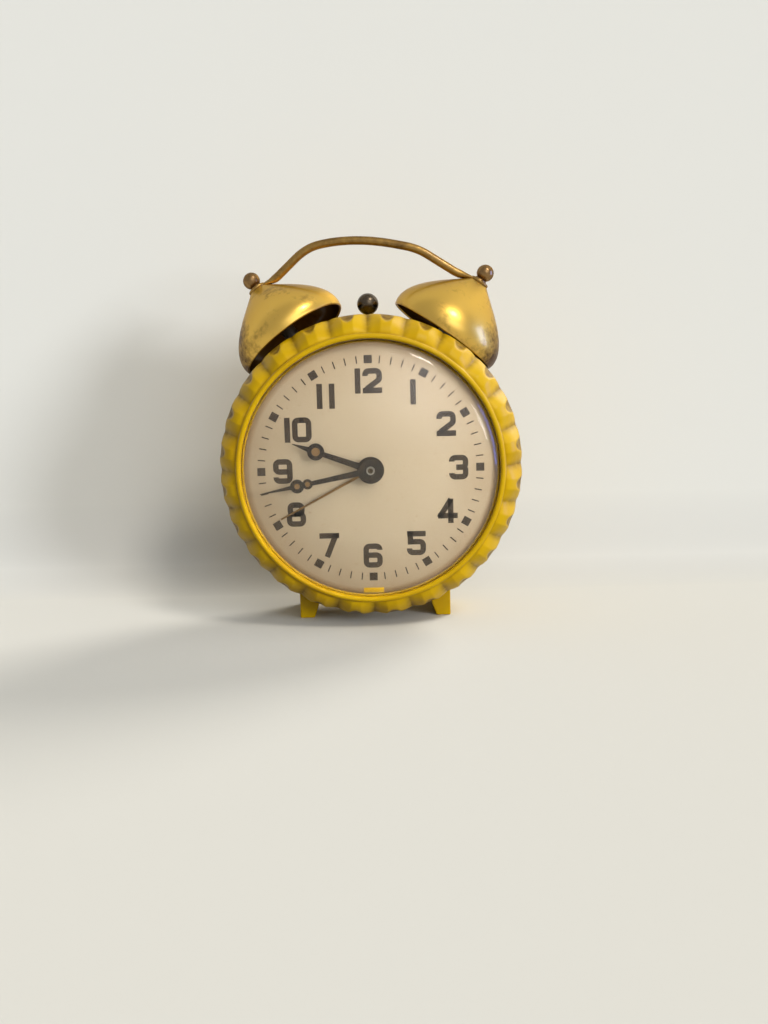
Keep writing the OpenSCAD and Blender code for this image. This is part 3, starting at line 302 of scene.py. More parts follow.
def aged_dial_lacquer():
    """Matt ivory lacquer sprayed on the dial: darker towards its edge with stains and painted shade, and
    faint dust.
    """
    c = colours()
    stain_and_shade_from, stain_and_shade_to = 22 * MM, 43 * MM
    shade_ring_from, shade_ring_to = 36.8 * MM, 39.4 * MM
    made, tree, shader, place = surface("aged_dial_lacquer", {"IOR": 1.48})
    offset = add(tree, "VectorMath", {"operation": "SUBTRACT", 1: (0, 0, AXIS)}, {0: place}).outputs[0]
    flat = add(tree, "VectorMath", {"operation": "MULTIPLY", 1: (1, 0, 1)}, {0: offset}).outputs[0]
    out = add(tree, "VectorMath", {"operation": "LENGTH"}, {0: flat}).outputs["Value"]
    # stains and painted shade gather towards the rim, where a ring of painted shade lies
    stain = add(tree, "TexNoise", {"Scale": per_mm(16), "Detail": 5.0}, {"Vector": place}).outputs["Fac"]
    far = add(
        tree, "MapRange", {"From Min": stain_and_shade_from, "From Max": stain_and_shade_to, "To Max": 0.75}, {"Value": out}
    ).outputs[0]
    patchy = add(tree, "Math", {"operation": "MULTIPLY"}, {0: far, 1: stain}).outputs[0]
    ring = add(tree, "MapRange", {"From Min": shade_ring_from, "From Max": shade_ring_to}, {"Value": out}).outputs[0]
    aged_and_shaded = add(tree, "Math", {"operation": "MAXIMUM"}, {0: patchy, 1: ring}).outputs[0]
    tone = add(tree, "Mix", {"data_type": "RGBA", 6: c.ivory, 7: c.smoke}, {0: aged_and_shaded}).outputs[2]
    speck = add(tree, "TexNoise", {"Scale": per_mm(0.8), "Detail": 2.0}, {"Vector": place}).outputs["Fac"]
    dust = add(
        tree, "MapRange", {"From Min": 0.66, "From Max": 0.76, "To Max": 0.4}, {"Value": speck}
    ).outputs[0]
    dusty = add(tree, "Mix", {"data_type": "RGBA", 7: c.smoke}, {0: dust, 6: tone}).outputs[2]
    rough = add(tree, "MapRange", {"To Min": 0.5, "To Max": 0.7}, {"Value": stain}).outputs[0]
    feed(shader, {"Base Color": dusty, "Roughness": rough})
    return made


def dark_coat(name, base, gloss):
    """A thin dark coat, printed or dipped: nearly even, with a slightly worn, browner bloom."""
    made, tree, shader, place = surface(name, {"IOR": 1.5})
    bloom = add(tree, "TexNoise", {"Scale": per_mm(1.5), "Detail": 4.0}, {"Vector": place}).outputs["Fac"]
    thin = add(
        tree, "MapRange", {"From Min": 0.5, "From Max": 0.8, "To Max": 0.35}, {"Value": bloom}
    ).outputs[0]
    tone = add(tree, "Mix", {"data_type": "RGBA", 6: base, 7: colours().tarnish}, {0: thin}).outputs[2]
    rough = add(tree, "MapRange", {"To Min": gloss, "To Max": gloss + 0.2}, {"Value": bloom}).outputs[0]
    feed(shader, {"Base Color": tone, "Roughness": rough})
    return made


def scuffed_acrylic():
    """Pressed clear acrylic: a glossy dome with faint scuffs that soften its highlights."""
    clear_sheet = {"Base Color": linear("#F7F3EA"), "Transmission Weight": 1.0, "IOR": 1.3}
    polish = {"Coat Weight": 0.12, "Coat Roughness": 0.22, "Coat IOR": 1.5}
    made, tree, shader, place = surface("scuffed_acrylic", {**clear_sheet, **polish})
    scuff = add(tree, "TexNoise", {"Scale": per_mm(3), "Detail": 6.0}, {"Vector": place}).outputs["Fac"]
    haze = add(
        tree,
        "MapRange",
        {"From Min": 0.45, "From Max": 0.8, "To Min": 0.02, "To Max": 0.12},
        {"Value": scuff},
    ).outputs[0]
    feed(shader, {"Roughness": haze})
    # lamps shine through it
    clear = add(tree, "BsdfTransparent", {"Color": linear("#F4F1EA")})
    show_mix(tree, add(tree, "LightPath").outputs["Is Shadow Ray"], shader, clear)
    return made


MAKERS = {
    "yellow_paint": stoved_enamel,
    "clear_acrylic": scuffed_acrylic,
    "ivory_paint": aged_dial_lacquer,
    "bell_brass": lambda: tarnished_brass("bell_brass", colours().brass, share=0.12, gloss=0.34),
    "handle_brass": lambda: tarnished_brass("handle_brass", colours().wire, share=0.3, gloss=0.36),
    "dark_brass": lambda: tarnished_brass("dark_brass", colours().bronze, share=0.2, gloss=0.3),
    "key_brass": lambda: tarnished_brass("key_brass", colours().plate, share=0.08, gloss=0.25),
    "black_lacquer": lambda: dark_coat("black_lacquer", colours().lacquer, gloss=0.3),
    "dial_ink": lambda: dark_coat("dial_ink", colours().ink, gloss=0.5),
    "aged_paste": lambda: dark_coat("aged_paste", colours().paste, gloss=0.6),
    "gunmetal": lambda: machined_metal(
        "browned_steel", colours().gunmetal, colours().lacquer, gloss=0.18, grain=1.0
    ),
    "steel": lambda: machined_metal(
        "plain_steel", colours().steel, colours().gunmetal, gloss=0.25, grain=0.6
    ),
    "spring_steel": lambda: machined_metal(
        "blued_spring_steel", colours().blued, colours().gunmetal, gloss=0.25, grain=0.6
    ),
    "movement_brass": lambda: machined_metal(
        "rolled_brass", colours().plate, colours().brass, gloss=0.25, grain=0.5
    ),
}
FINISHES = {}


def finish(slot):
    """The material of a slot, made the first time that it is asked for."""
    if slot not in FINISHES:
        FINISHES[slot] = MAKERS[slot]()
    return FINISHES[slot]


# Shapes


def arc(centre, radius, start, end, steps):
    """Points round a centre, from one angle in degrees to another."""
    turns = [math.radians(start + (end - start) * i / steps) for i in range(steps + 1)]
    return [(centre[0] + radius * math.cos(a), centre[1] + radius * math.sin(a)) for a in turns]


def bezier(points, steps):
    """Points along a cubic curve."""
    a, b, c, d = (Vector(p) for p in points)
    shares = [i / steps for i in range(steps + 1)]
    return [
        tuple((1 - t) ** 3 * a + 3 * (1 - t) ** 2 * t * b + 3 * (1 - t) * t * t * c + t ** 3 * d)
        for t in shares
    ]


def radius_at(outline, height):
    """Radius of an outline at its point nearest to a height."""
    return min(outline, key=lambda p: abs(p[1] - height))[0]


def verts_of(geometry):
    """The vertices in what a bmesh operator returns."""
    return [v for v in geometry if isinstance(v, bmesh.types.BMVert)]


def edges_of(geometry):
    """The edges in what a bmesh operator returns."""
    return [e for e in geometry if isinstance(e, bmesh.types.BMEdge)]


def lathe(profile, steps, shut=True):
    """A bmesh of (radius, height) points in millimetres, spun round z. One that isn't shut ends on z."""
    bm = bmesh.new()
    dots = [bm.verts.new((r * MM, 0, h * MM)) for r, h in profile]
    ends = dots[1:] + (dots[:1] if shut else [])
    lines = [bm.edges.new(pair) for pair in zip(dots, ends)]
    bmesh.ops.spin(
        bm, geom=dots + lines, cent=(0, 0, 0), axis=(0, 0, 1), angle=2 * math.pi, steps=steps, use_merge=True
    )
    return bm


def mesh_object(bm, name, material):
    """An object of a bmesh, in the scene and shaded smooth."""
    mesh = bpy.data.meshes.new(name)
    bm.to_mesh(mesh)
    bm.free()
    mesh.shade_smooth()
    mesh.materials.append(material)
    made = bpy.data.objects.new(name, mesh)
    bpy.context.scene.collection.objects.link(made)
    return made


def piece(bm, name, body, slot, place=None, replaces=(), crisp=35, material=None):
    """Closes a bmesh, puts it in its place and makes it an object that rides on a body."""
    bmesh.ops.remove_doubles(bm, verts=bm.verts, dist=1e-7)
    if place:
        bmesh.ops.transform(bm, matrix=place, verts=bm.verts)
    bmesh.ops.recalc_face_normals(bm, faces=bm.faces)
    made = mesh_object(bm, name, finish(material or slot))
    made.data.set_sharp_from_angle(angle=math.radians(crisp))
    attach(made, body)
    if replaces:
        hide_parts(*replaces)
    return made


def broken_edges(node, edge, corner=28):
    """A copy of a CAD node whose sharp edges are broken, as stamping, turning and paint leave them."""
    cad = frame["nodes"][node]
    bm = bmesh.new()
    bm.from_mesh(cad.data)
    bmesh.ops.remove_doubles(bm, verts=bm.verts, dist=1e-6)
    bmesh.ops.dissolve_limit(bm, angle_limit=math.radians(1), verts=bm.verts, edges=bm.edges)
    sharp = [e for e in bm.edges if e.is_manifold and e.calc_face_angle(0) > math.radians(corner)]
    bmesh.ops.bevel(
        bm, geom=sharp, offset=edge, segments=2, profile=0.5, affect="EDGES", material=-1, clamp_overlap=True
    )
    return piece(bm, node + "_finished", cad["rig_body"], SLOT_OF[node], replaces=(node,), crisp=20)


def bell_frame(side):
    """The frame of a bell, -1 left and 1 right: its axis is z, and its mouth is at 0."""
    s = sizes()
    lean = s.lean_left if side < 0 else s.lean_right
    return (
        Matrix.Translation((0, FRONT, AXIS))
        @ Matrix.Rotation(side * s.bell_angle, 4, "Y")
        @ Matrix.Translation((0, s.post_depth, s.post_bend))
        @ Matrix.Rotation(side * s.bell_cant, 4, "Y")
        @ Matrix.Rotation(-lean, 4, "X")
        @ Matrix.Translation((0, 0, s.post_rise))
    )


# Stage

# Half the width of the floor, the height of the backdrop and the radius where they meet, in metres
FLOOR_HALF, BACKDROP_HEIGHT, FILLET = 2.5, 2.5, 0.03
# Name, direction, width in degrees, strength and colour of each lamp
LAMPS = (
    ("window", (0.75, -0.62, 0.2), 16, 1.7, "#F4F7FF"),
    ("lamp", (0.42, -0.45, 0.79), 12, 1.05, "#FFF8F0"),
    ("behind", (0.6, 0.6, 0.53), 26, 2.0, "#FFF9F2"),
)
# The card that metal and glass mirror: its middle, height and depth in metres
CARD_MIDDLE, CARD_HEIGHT, CARD_DEPTH = (0.36, -0.02, 0.12), 0.2, 0.12
# The photograph's view: how far it is raised, swung to the right and rolled, and how far off the rim it is
VIEW_RISE, VIEW_SWING, VIEW_ROLL = math.radians(7.19), math.radians(1.08), math.radians(-1.55)
VIEW_DISTANCE, RIM_DEPTH = 380 * MM, 17.5 * MM
# Where the middle of the picture lies from the middle of the rim
AIM_RIGHT, AIM_DOWN = 4.1 * MM, 14.2 * MM
LENS, SENSOR = 42.3, 36


class CLOCK_OT_stage(bpy.types.Operator):
    """Floor, backdrop, lights and camera"""

    bl_idname = "clock.stage"
    bl_label = "Stage"

    def execute(self, context):
        scene = context.scene
        scene.view_settings.view_transform = "Standard"
        self.sweep()
        lamps = {row[0]: self.lamp(*row) for row in LAMPS}
        # in metal and glass the card stands for the window
        lamps["window"].visible_glossy = False
        self.card()
        self.sky(scene)
        self.camera(scene)
        return {"FINISHED"}

    def sweep(self):
        """A floor, and a backdrop that curves up out of it close behind the clock."""
        paper = self.paper()
        floor = bmesh.new()
        bmesh.ops.create_grid(floor, x_segments=1, y_segments=1, size=FLOOR_HALF)
        self.sheet(floor, "stage_floor", paper)
        bm = bmesh.new()
        foot = bm.edges.new([bm.verts.new((x, FILLET, 0)) for x in (-FLOOR_HALF, FLOOR_HALF)])
        last = bmesh.ops.spin(
            bm, geom=[foot], cent=(0, FILLET, FILLET), axis=(1, 0, 0), angle=math.radians(90), steps=24
        )["geom_last"]
        wall = bmesh.ops.extrude_edge_only(bm, edges=edges_of(last))["geom"]
        bmesh.ops.translate(bm, verts=verts_of(wall), vec=(0, 0, BACKDROP_HEIGHT))
        # the lamp behind shines through the backdrop
        self.sheet(bm, "stage_backdrop", paper).visible_shadow = False

    def sheet(self, bm, name, paper):
        """One sheet of the stage, with its front up or towards the clock."""
        bm.normal_update()
        bmesh.ops.reverse_faces(bm, faces=[f for f in bm.faces if f.normal.z - f.normal.y < 0])
        made = mesh_object(bm, name, paper)
        return made

    def paper(self):
        """Pale paper that looks even: a little darker where it faces more of the light."""
        lamps_ahead, lamp_behind = (0, -1, 0.66), (0, 0.56, 0.49)
        made, tree, shader, _ = surface("stage_paper", {"Roughness": 0.9, "Specular IOR Level": 0.0})
        side = add(tree, "NewGeometry").outputs
        facing = [
            add(
                tree, "VectorMath", {"operation": "DOT_PRODUCT", 1: way}, {0: side["Normal"]}
            ).outputs["Value"]
            for way in (lamps_ahead, lamp_behind)
        ]
        behind = add(tree, "Math", {"operation": "MAXIMUM", 1: 0.0}, {0: facing[1]}).outputs[0]
        lit = add(tree, "Math", {"operation": "ADD"}, {0: facing[0], 1: behind}).outputs[0]
        over = add(tree, "Math", {"operation": "MAXIMUM", 1: 1.0}, {0: lit}).outputs[0]
        even = add(tree, "Math", {"operation": "DIVIDE", 0: 1.0}, {1: over}).outputs[0]
        # it shows itself pale, and throws less of that back on the clock
        ray = add(tree, "LightPath").outputs
        mirrored = add(
            tree, "Math", {"operation": "MAXIMUM"}, {0: ray["Is Camera Ray"], 1: ray["Is Glossy Ray"]}
        ).outputs[0]
        seen = add(
            tree, "Math", {"operation": "MAXIMUM"}, {0: mirrored, 1: ray["Is Transmission Ray"]}
        ).outputs[0]
        pale = add(tree, "MapRange", {"To Min": 0.45}, {"Value": seen}).outputs[0]
        level = add(tree, "Math", {"operation": "MULTIPLY"}, {0: even, 1: pale}).outputs[0]
        tone = add(
            tree, "VectorMath", {"operation": "SCALE", 0: colours().stage[:3]}, {"Scale": level}
        ).outputs[0]
        feed(shader, {"Base Color": tone})
        # the backdrop only has a front, so that it hides nothing in a view from behind
        show_mix(tree, side["Backfacing"], shader, add(tree, "BsdfTransparent"))
        return made

    def card(self):
        """A cool white card on the right, which metal and glass mirror as a window. It lights nothing."""
        bm = bmesh.new()
        bmesh.ops.create_grid(bm, x_segments=1, y_segments=1, size=0.5)
        bmesh.ops.scale(bm, vec=(CARD_HEIGHT, CARD_DEPTH, 1), verts=bm.verts)
        upright = Matrix.Rotation(math.radians(-90), 4, "Y")
        bmesh.ops.transform(bm, matrix=Matrix.Translation(CARD_MIDDLE) @ upright, verts=bm.verts)
        glow = {"Base Color": (0, 0, 0, 1), "Emission Color": linear("#7A92FF"), "Emission Strength": 9.0}
        board = mesh_object(bm, "stage_card", surface("stage_card", glow)[0])
        board.visible_camera = board.visible_diffuse = False
        board.visible_transmission = board.visible_shadow = False

    def lamp(self, name, way, width, strength, code):
        """Light from far off, as even over the stage as a big soft lamp."""
        light = bpy.data.lights.new(name, "SUN")
        light.angle, light.energy, light.color = math.radians(width), strength, linear(code)[:3]
        made = bpy.data.objects.new(name, light)
        made.location = Vector(way)
        made.rotation_euler = Vector(way).to_track_quat("Z", "Y").to_euler()
        bpy.context.scene.collection.objects.link(made)
        return made

    def sky(self, scene):
        """A pale studio with one big soft glow, in front of the clock and up to its right."""
        glow_way, glow_narrowness, glow_strength = (0.32, -0.84, 0.44), 20.0, 2.6
        broad_strength, least_strength = 0.45, 0.06
        room_in_metal, room_seen = 0.55, 0.78
        scene.world = bpy.data.worlds.new("studio")
        scene.world.use_nodes = True
        tree = scene.world.node_tree
        tree.nodes.clear()
        way = add(tree, "TexCoord").outputs["Generated"]
        facing = add(
            tree, "VectorMath", {"operation": "DOT_PRODUCT", 1: glow_way}, {0: way}
        ).outputs["Value"]
        ahead = add(tree, "Math", {"operation": "MAXIMUM", 1: 0.0}, {0: facing}).outputs[0]
        lobe = add(tree, "Math", {"operation": "POWER", 1: glow_narrowness}, {0: ahead}).outputs[0]
        broad = add(
            tree, "Math", {"operation": "MULTIPLY_ADD", 1: broad_strength, 2: least_strength}, {0: ahead}
        ).outputs[0]
        level = add(
            tree, "Math", {"operation": "MULTIPLY_ADD", 1: glow_strength}, {0: lobe, 2: broad}
        ).outputs[0]
        # metal mirrors a pale room, and the camera sees one
        ray = add(tree, "LightPath").outputs
        room = add(
            tree, "Math", {"operation": "MULTIPLY", 1: room_in_metal}, {0: ray["Is Glossy Ray"]}
        ).outputs[0]
        mirrored = add(tree, "Math", {"operation": "MAXIMUM"}, {0: level, 1: room}).outputs[0]
        level = add(tree, "Mix", {3: room_seen}, {0: ray["Is Camera Ray"], 2: mirrored}).outputs[0]
        glow = add(tree, "Background", {"Color": linear("#F7F7FA")}, {"Strength": level})
        add(tree, "OutputWorld", links={"Surface": glow.outputs[0]})

    def camera(self, scene):
        """The photograph's view: a little above and to the right, and slightly rolled."""
        data = bpy.data.cameras.new("camera")
        data.sensor_fit, data.sensor_width, data.lens = "AUTO", SENSOR, LENS
        data.clip_start, data.clip_end = 0.01, 20
        ahead = Vector((-math.sin(VIEW_SWING), math.cos(VIEW_SWING), 0)) * math.cos(VIEW_RISE)
        ahead.z = -math.sin(VIEW_RISE)
        across = Vector((math.cos(VIEW_SWING), math.sin(VIEW_SWING), 0))
        up = across.cross(ahead)
        across, up = (
            across * math.cos(VIEW_ROLL) + up * math.sin(VIEW_ROLL),
            up * math.cos(VIEW_ROLL) - across * math.sin(VIEW_ROLL),
        )
        rim = Vector((0, FRONT + RIM_DEPTH, AXIS))
        eye = rim - ahead * VIEW_DISTANCE
        aim = (rim + across * AIM_RIGHT - up * AIM_DOWN - eye).normalized()
        across = aim.cross(up).normalized()
        up = across.cross(aim)
        made = bpy.data.objects.new("camera", data)
        turn = Matrix((across, up, -aim)).transposed().to_4x4()
        made.matrix_world = Matrix.Translation(eye) @ turn
        scene.collection.objects.link(made)
        scene.camera = made


# Case


class CLOCK_OT_case(bpy.types.Operator):
    """Drum, back cover, screws and feet, pressed from sheet and painted"""

    bl_idname = "clock.case"
    bl_label = "Case"

    def execute(self, context):
        edge = sizes().edge
        for node in ("case_drum", "back_cover"):
            broken_edges(node, edge)
        for node in ("foot_left", "foot_right"):
            broken_edges(node, 2 * edge)
        broken_edges("cover_screws", edge / 2)
        return {"FINISHED"}


class CLOCK_OT_bezel(bpy.types.Operator):
    """Bezel of pressed petals, with a bead round its opening"""

    bl_idname = "clock.bezel"
    bl_label = "Bezel"

    def execute(self, context):
        s = sizes()
        opening, bead, rim, lip = s.opening / MM, s.bead / MM, s.rim / MM, s.lip_depth / MM
        band_steps = 22
        band = bezier(
            [
                (opening + 1.95, lip + 1.5),
                (opening + 3.4, lip + 1.0),
                (rim - 0.8, lip + 4.0),
                (rim, lip + 7.8),
            ],
            band_steps,
        )
        skirt = [
            (rim - 0.1, lip + 8.7), (rim - 0.7, lip + 9.9), (rim - 1.9, lip + 11.2), (rim - 2.7, lip + 11.8),
        ]
        round_bead = arc((opening + bead, lip + bead), bead, 180, 392, 14)
        inside = [
            (rim - 2.9, lip + 12.5), (rim - 3.9, lip + 12.5), (rim - 3.9, lip + 11.0),
            (rim - 2.7, lip + 9.6), (rim - 2.7, lip + 8.0), (opening + 1.2, lip + 4.0),
            (opening + 1.2, lip + 1.6), (opening, lip + 1.6),
        ]
        profile = round_bead + band + skirt + inside
        first = len(round_bead)
        bm = lathe(profile, s.petals * 36)
        self.press(bm, profile, first, band_steps, len(skirt))
        piece(bm, "bezel_petals", "case", "yellow_paint", CLOCK, ("bezel",), crisp=50)
        return {"FINISHED"}

    def press(self, bm, profile, first, band_steps, skirt_steps):
        """Presses the creases, dents and notches, and marks where dirt, painted shade and wear lie."""
        s = sizes()
        # reach of each form from its middle: across in halves of a petal, and in from the rim in bands
        crease_half, dent_half, notch_half, dirt_and_shade_half = 0.72, 0.36, 0.3, 0.32
        dent_reach, wear_reach, valley_reach = 0.42, 0.07, 0.09
        # profile points match their rings of vertices on a grid of that many steps to a millimetre
        grid = 50
        grime = bm.verts.layers.float.new("grime")
        wear = bm.verts.layers.float.new("wear")
        # how far out on the band each point is, 0 at the bead and 1 at the rim, and its outward direction
        places = {}
        for i in range(first - 4, first + band_steps + 1 + skirt_steps):
            along = (Vector(profile[i + 1]) - Vector(profile[i - 1])).normalized()
            places[i] = ((i - first) / band_steps, Vector((along.y, -along.x)))
        keys = {(round(p[0] * grid), round(p[1] * grid)): i for i, p in enumerate(profile)}
        pitch = 2 * math.pi / s.petals
        for v in bm.verts:
            r = math.hypot(v.co.x, v.co.y)
            i = keys.get((round(r / MM * grid), round(v.co.z / MM * grid)))
            if i not in places:
                continue
            share, out = places[i]
            turn = math.atan2(v.co.x, -v.co.y) / pitch
            # 0 on the crease between two petals, 1 in the middle of a petal
            off = 2 * abs(turn - round(turn))
            skirt = max(0.0, share - 1) * band_steps / (skirt_steps + 1)
            deep = max(0.0, min(share, 1.0))
            tent = 0.85 * max(0.0, 1 - off / crease_half) + 0.15 * (1 - off) ** 2
            spot = ((1 - off) / dent_half) ** 2 + (max(0.0, 1.0 - share) / dent_reach) ** 2
            dent = max(0.0, 1 - spot)
            back = s.crease * (0.3 + 0.7 * min(1.0, 1.6 * deep)) * tent + s.scoop * math.sqrt(dent)
            inward = s.notch * deep ** 3 * max(0.0, 1 - off / notch_half)
            fade = (1 - skirt) ** 1.5 if share > 1 else float(share >= 0)
            away = Vector((v.co.x / r, v.co.y / r, 0))
            v.co -= (away * out.x + Vector((0, 0, out.y))) * inward * fade
            v.co.z += back * fade * (1 - skirt if share > 1 else 1)
            # dirt and painted shade lie by the bead and along the creases, and dirt lies in the dents and on
            # the rim
            valley = max(0.0, 1 - abs(share + 0.03) / valley_reach)
            line = max(0.0, 1 - off / dirt_and_shade_half) ** 1.3 * (0.5 + 0.5 * deep)
            v[grime] = min(1.0, max(0.45 * valley, line, min(1.0, 4 * dent), 0.7 * (share > 0.96)))
            v[wear] = 0.35 * max(0.0, 1 - abs(share - 1.0) / wear_reach)


class CLOCK_OT_crystal(bpy.types.Operator):
    """Domed acrylic crystal with a rounded shoulder"""

    bl_idname = "clock.crystal"
    bl_label = "Crystal"

    def execute(self, context):
        s = sizes()
        flange, base = s.lip_depth / MM + 1.6, s.dial_depth / MM - 0.02
        wall, shoulder, opening = 0.6, 5.0, s.opening / MM - 0.2
        seat = opening + 1.25
        outer = self.dome(opening, shoulder, 0.0, flange)
        inner = self.dome(opening - wall, shoulder - wall, wall, flange)
        profile = outer + [(seat, flange), (seat, base), (opening - wall, base)] + inner[::-1]
        bm = lathe(profile, 192, shut=False)
        piece(bm, "crystal_dome", "case", "clear_acrylic", CLOCK, ("crystal",), crisp=50)
        return {"FINISHED"}

    def dome(self, radius, shoulder, top, base):
        """A crown that meets its rounded shoulder smoothly."""
        rise = base - top
        crown = ((radius - shoulder) ** 2 + rise ** 2 - shoulder ** 2) / (2 * (rise - shoulder))
        turn = math.degrees(math.asin((radius - shoulder) / (crown - shoulder)))
        return (
            [(0, top)]
            + arc((0, top + crown), crown, -90, turn - 90, 30)[1:]
            + arc((radius - shoulder, base), shoulder, turn - 90, 0, 12)[1:]
        )


# Dial

# Lines of the figures on a box from -1 to 1, each drawn with one stroke of the pen
FIGURES = {
    "0": [[(0, 1), (1, 1), (1, -1), (-1, -1), (-1, 1), (0, 1)]],
    "1": [[(0, 1), (0, -1)]],
    "2": [[(-1, 0.5), (-1, 1), (1, 1), (1, 0.1), (-0.85, -0.85)], [(-1, -1), (1, -1)]],
    "3": [[(-1, 0.6), (-1, 1), (1, 1), (1, 0), (-0.35, 0)], [(1, -0.05), (1, -1), (-1, -1), (-1, -0.6)]],
    "4": [[(0.45, 1), (0.45, -1)], [(0.3, 1), (-1, -0.45)], [(-1, -0.5), (1.05, -0.5)]],
    "5": [
        [(1, 1), (-0.9, 1)],
        [(-0.85, 1), (-0.85, 0.15)],
        [(-0.85, 0.15), (1, 0.15), (1, -1), (-1, -1), (-1, -0.55)],
    ],
    "6": [[(1, 0.6), (1, 1), (-1, 1), (-1, -1), (1, -1), (1, 0.05), (-0.8, 0.05)]],
    "7": [[(-1, 1), (1.1, 1)], [(0.9, 0.9), (-0.2, -1)]],
    "8": [
        [(0, 1), (0.85, 1), (0.85, 0.05), (-0.85, 0.05), (-0.85, 1), (0, 1)],
        [(0, 0.05), (1, 0.05), (1, -1), (-1, -1), (-1, 0.05), (0, 0.05)],
    ],
    "9": [[(-1, -0.6), (-1, -1), (1, -1), (1, 1), (-1, 1), (-1, -0.05), (0.8, -0.05)]],
}
# Distance of an hour from the clock's axis, in millimetres, and of the hours with two figures
HOUR_RING, WIDE_HOUR_RINGS = 27.3, {10: 25.6, 11: 26.5, 12: 27.4}


class CLOCK_OT_dial(bpy.types.Operator):
    """Dial plate with its printed figures, minute track and the small tab that holds it"""

    bl_idname = "clock.dial"
    bl_label = "Dial"

    def execute(self, context):
        s = sizes()
        front, out = s.dial_depth / MM, s.dial_radius / MM
        hole, sheet = 3.0, 0.6
        rings = [
            (hole, front), (out - 0.3, front), (out, front + 0.2),
            (out, front + sheet), (hole, front + sheet),
        ]
        piece(lathe(rings, 160), "dial_plate", "case", "ivory_paint", CLOCK, ("dial",))
        self.print_ink()
        self.tab()
        return {"FINISHED"}

    def print_ink(self):
        """Everything printed on the dial, as one thin film."""
        s = sizes()
        # half the length, and the width, of the marks
        hour_mark, minute_mark = (1.25 * MM, 2.5 * MM), (1.15 * MM, 0.36 * MM)
        film, sunk = 0.05 * MM, 0.01 * MM
        bm = bmesh.new()
        for minute in range(60):
            a = math.radians(6 * minute)
            way = Vector((math.sin(a), math.cos(a)))
            half, width = minute_mark if minute % 5 else hour_mark
            self.stroke(bm, [way * (s.minute_track - half), way * (s.minute_track + half)], width, 0.0)
        for hour in range(1, 13):
            a = math.radians(30 * hour)
            ring = WIDE_HOUR_RINGS.get(hour, HOUR_RING) * MM
            self.figure(bm, str(hour), Vector((math.sin(a), math.cos(a))) * ring)
        front = bmesh.ops.extrude_face_region(bm, geom=bm.faces[:])["geom"]
        bmesh.ops.translate(bm, verts=verts_of(front), vec=(0, 0, -film))
        upright = Matrix.Scale(-1, 4, (0, 1, 0))
        place = CLOCK @ Matrix.Translation((0, 0, s.dial_depth + sunk)) @ upright
        piece(bm, "dial_print", "case", "black_lacquer", place, material="dial_ink")

    def figure(self, bm, text, middle):
        """One or two figures side by side, upright, centred on a point."""
        s = sizes()
        widths = [s.figure_stroke * 1.05 if c == "1" else s.figure_width for c in text]
        space = (2.0 if text == "11" else 0.6) * MM
        left = -(sum(widths) + space * (len(text) - 1)) / 2
        for c, width in zip(text, widths):
            centre = middle + Vector((left + width / 2, 0))
            box = Vector(((width - s.figure_stroke) / 2, (s.figure_height - s.figure_stroke) / 2))
            for path in FIGURES[c]:
                # straight ends run out to the full height
                ends = [centre + Vector((p[0] * box.x, p[1] * box.y)) for p in path]
                if len(path) == 2:
                    along = (ends[1] - ends[0]).normalized() * s.figure_stroke / 2
                    ends = [ends[0] - along, ends[1] + along]
                self.stroke(bm, ends, s.figure_stroke, 0.62 * s.figure_stroke)
            left += width + space

    def stroke(self, bm, points, width, corner):
        """A flat stroke of even width: an edge drawn along straight runs and spun round the corners."""
        points = [Vector((p[0], p[1], 0)) for p in points]
        ahead = (points[1] - points[0]).normalized()
        side = Vector((-ahead.y, ahead.x, 0)) * width / 2
        edge = bm.edges.new([bm.verts.new(points[0] + side), bm.verts.new(points[0] - side)])
        used = 0.0
        for i in range(1, len(points)):
            run = points[i] - points[i - 1]
            ahead = run.normalized()
            turn, cut = 0.0, 0.0
            if i < len(points) - 1:
                coming = (points[i + 1] - points[i]).normalized()
                turn = math.atan2(ahead.cross(coming).z, ahead.dot(coming))
                cut = corner * math.tan(abs(turn) / 2)
            grown = bmesh.ops.extrude_edge_only(bm, edges=[edge])["geom"]
            tips = verts_of(grown)
            bmesh.ops.translate(bm, verts=tips, vec=ahead * (run.length - used - cut))
            edge = next(e for e in edges_of(grown) if all(v in tips for v in e.verts))
            if turn:
                side = Vector((-ahead.y, ahead.x, 0)) * math.copysign(corner, turn)
                centre = (edge.verts[0].co + edge.verts[1].co) / 2 + side
                last = bmesh.ops.spin(
                    bm, geom=[edge], cent=centre, axis=(0, 0, 1), angle=turn, steps=6
                )["geom_last"]
                edge = edges_of(last)[0]
            used = cut

    def tab(self):
        """The yellow tab of the case that shows at the foot of the dial."""
        width, height, sheet, broken = 6.4 * MM, 1.9 * MM, 0.3 * MM, 0.12 * MM
        low, proud = 38.5 * MM, 0.1 * MM
        bm = bmesh.new()
        bmesh.ops.create_cube(bm, size=1.0)
        bmesh.ops.scale(bm, vec=(width, height, sheet), verts=bm.verts)
        bmesh.ops.bevel(
            bm, geom=bm.edges, offset=broken, segments=2, profile=0.5, affect="EDGES", material=-1
        )
        place = CLOCK @ Matrix.Translation((0, low, sizes().dial_depth - proud))
        piece(bm, "dial_tab", "case", "yellow_paint", place)


# Each drop of paste in a hand: the hand, a name, how far out it lies and its radius in millimetres,
# the hand's turn at rest in degrees and the depth of its front in millimetres
PASTE = (
    ("hour_hand", "hour_paste", 17.85, 1.3, 290.0, 9.5),
    ("minute_hand", "minute_paste_inner", 19.91, 0.8, 259.2, 8.4),
    ("minute_hand", "minute_paste_outer", 23.21, 0.86, 259.2, 8.4),
)


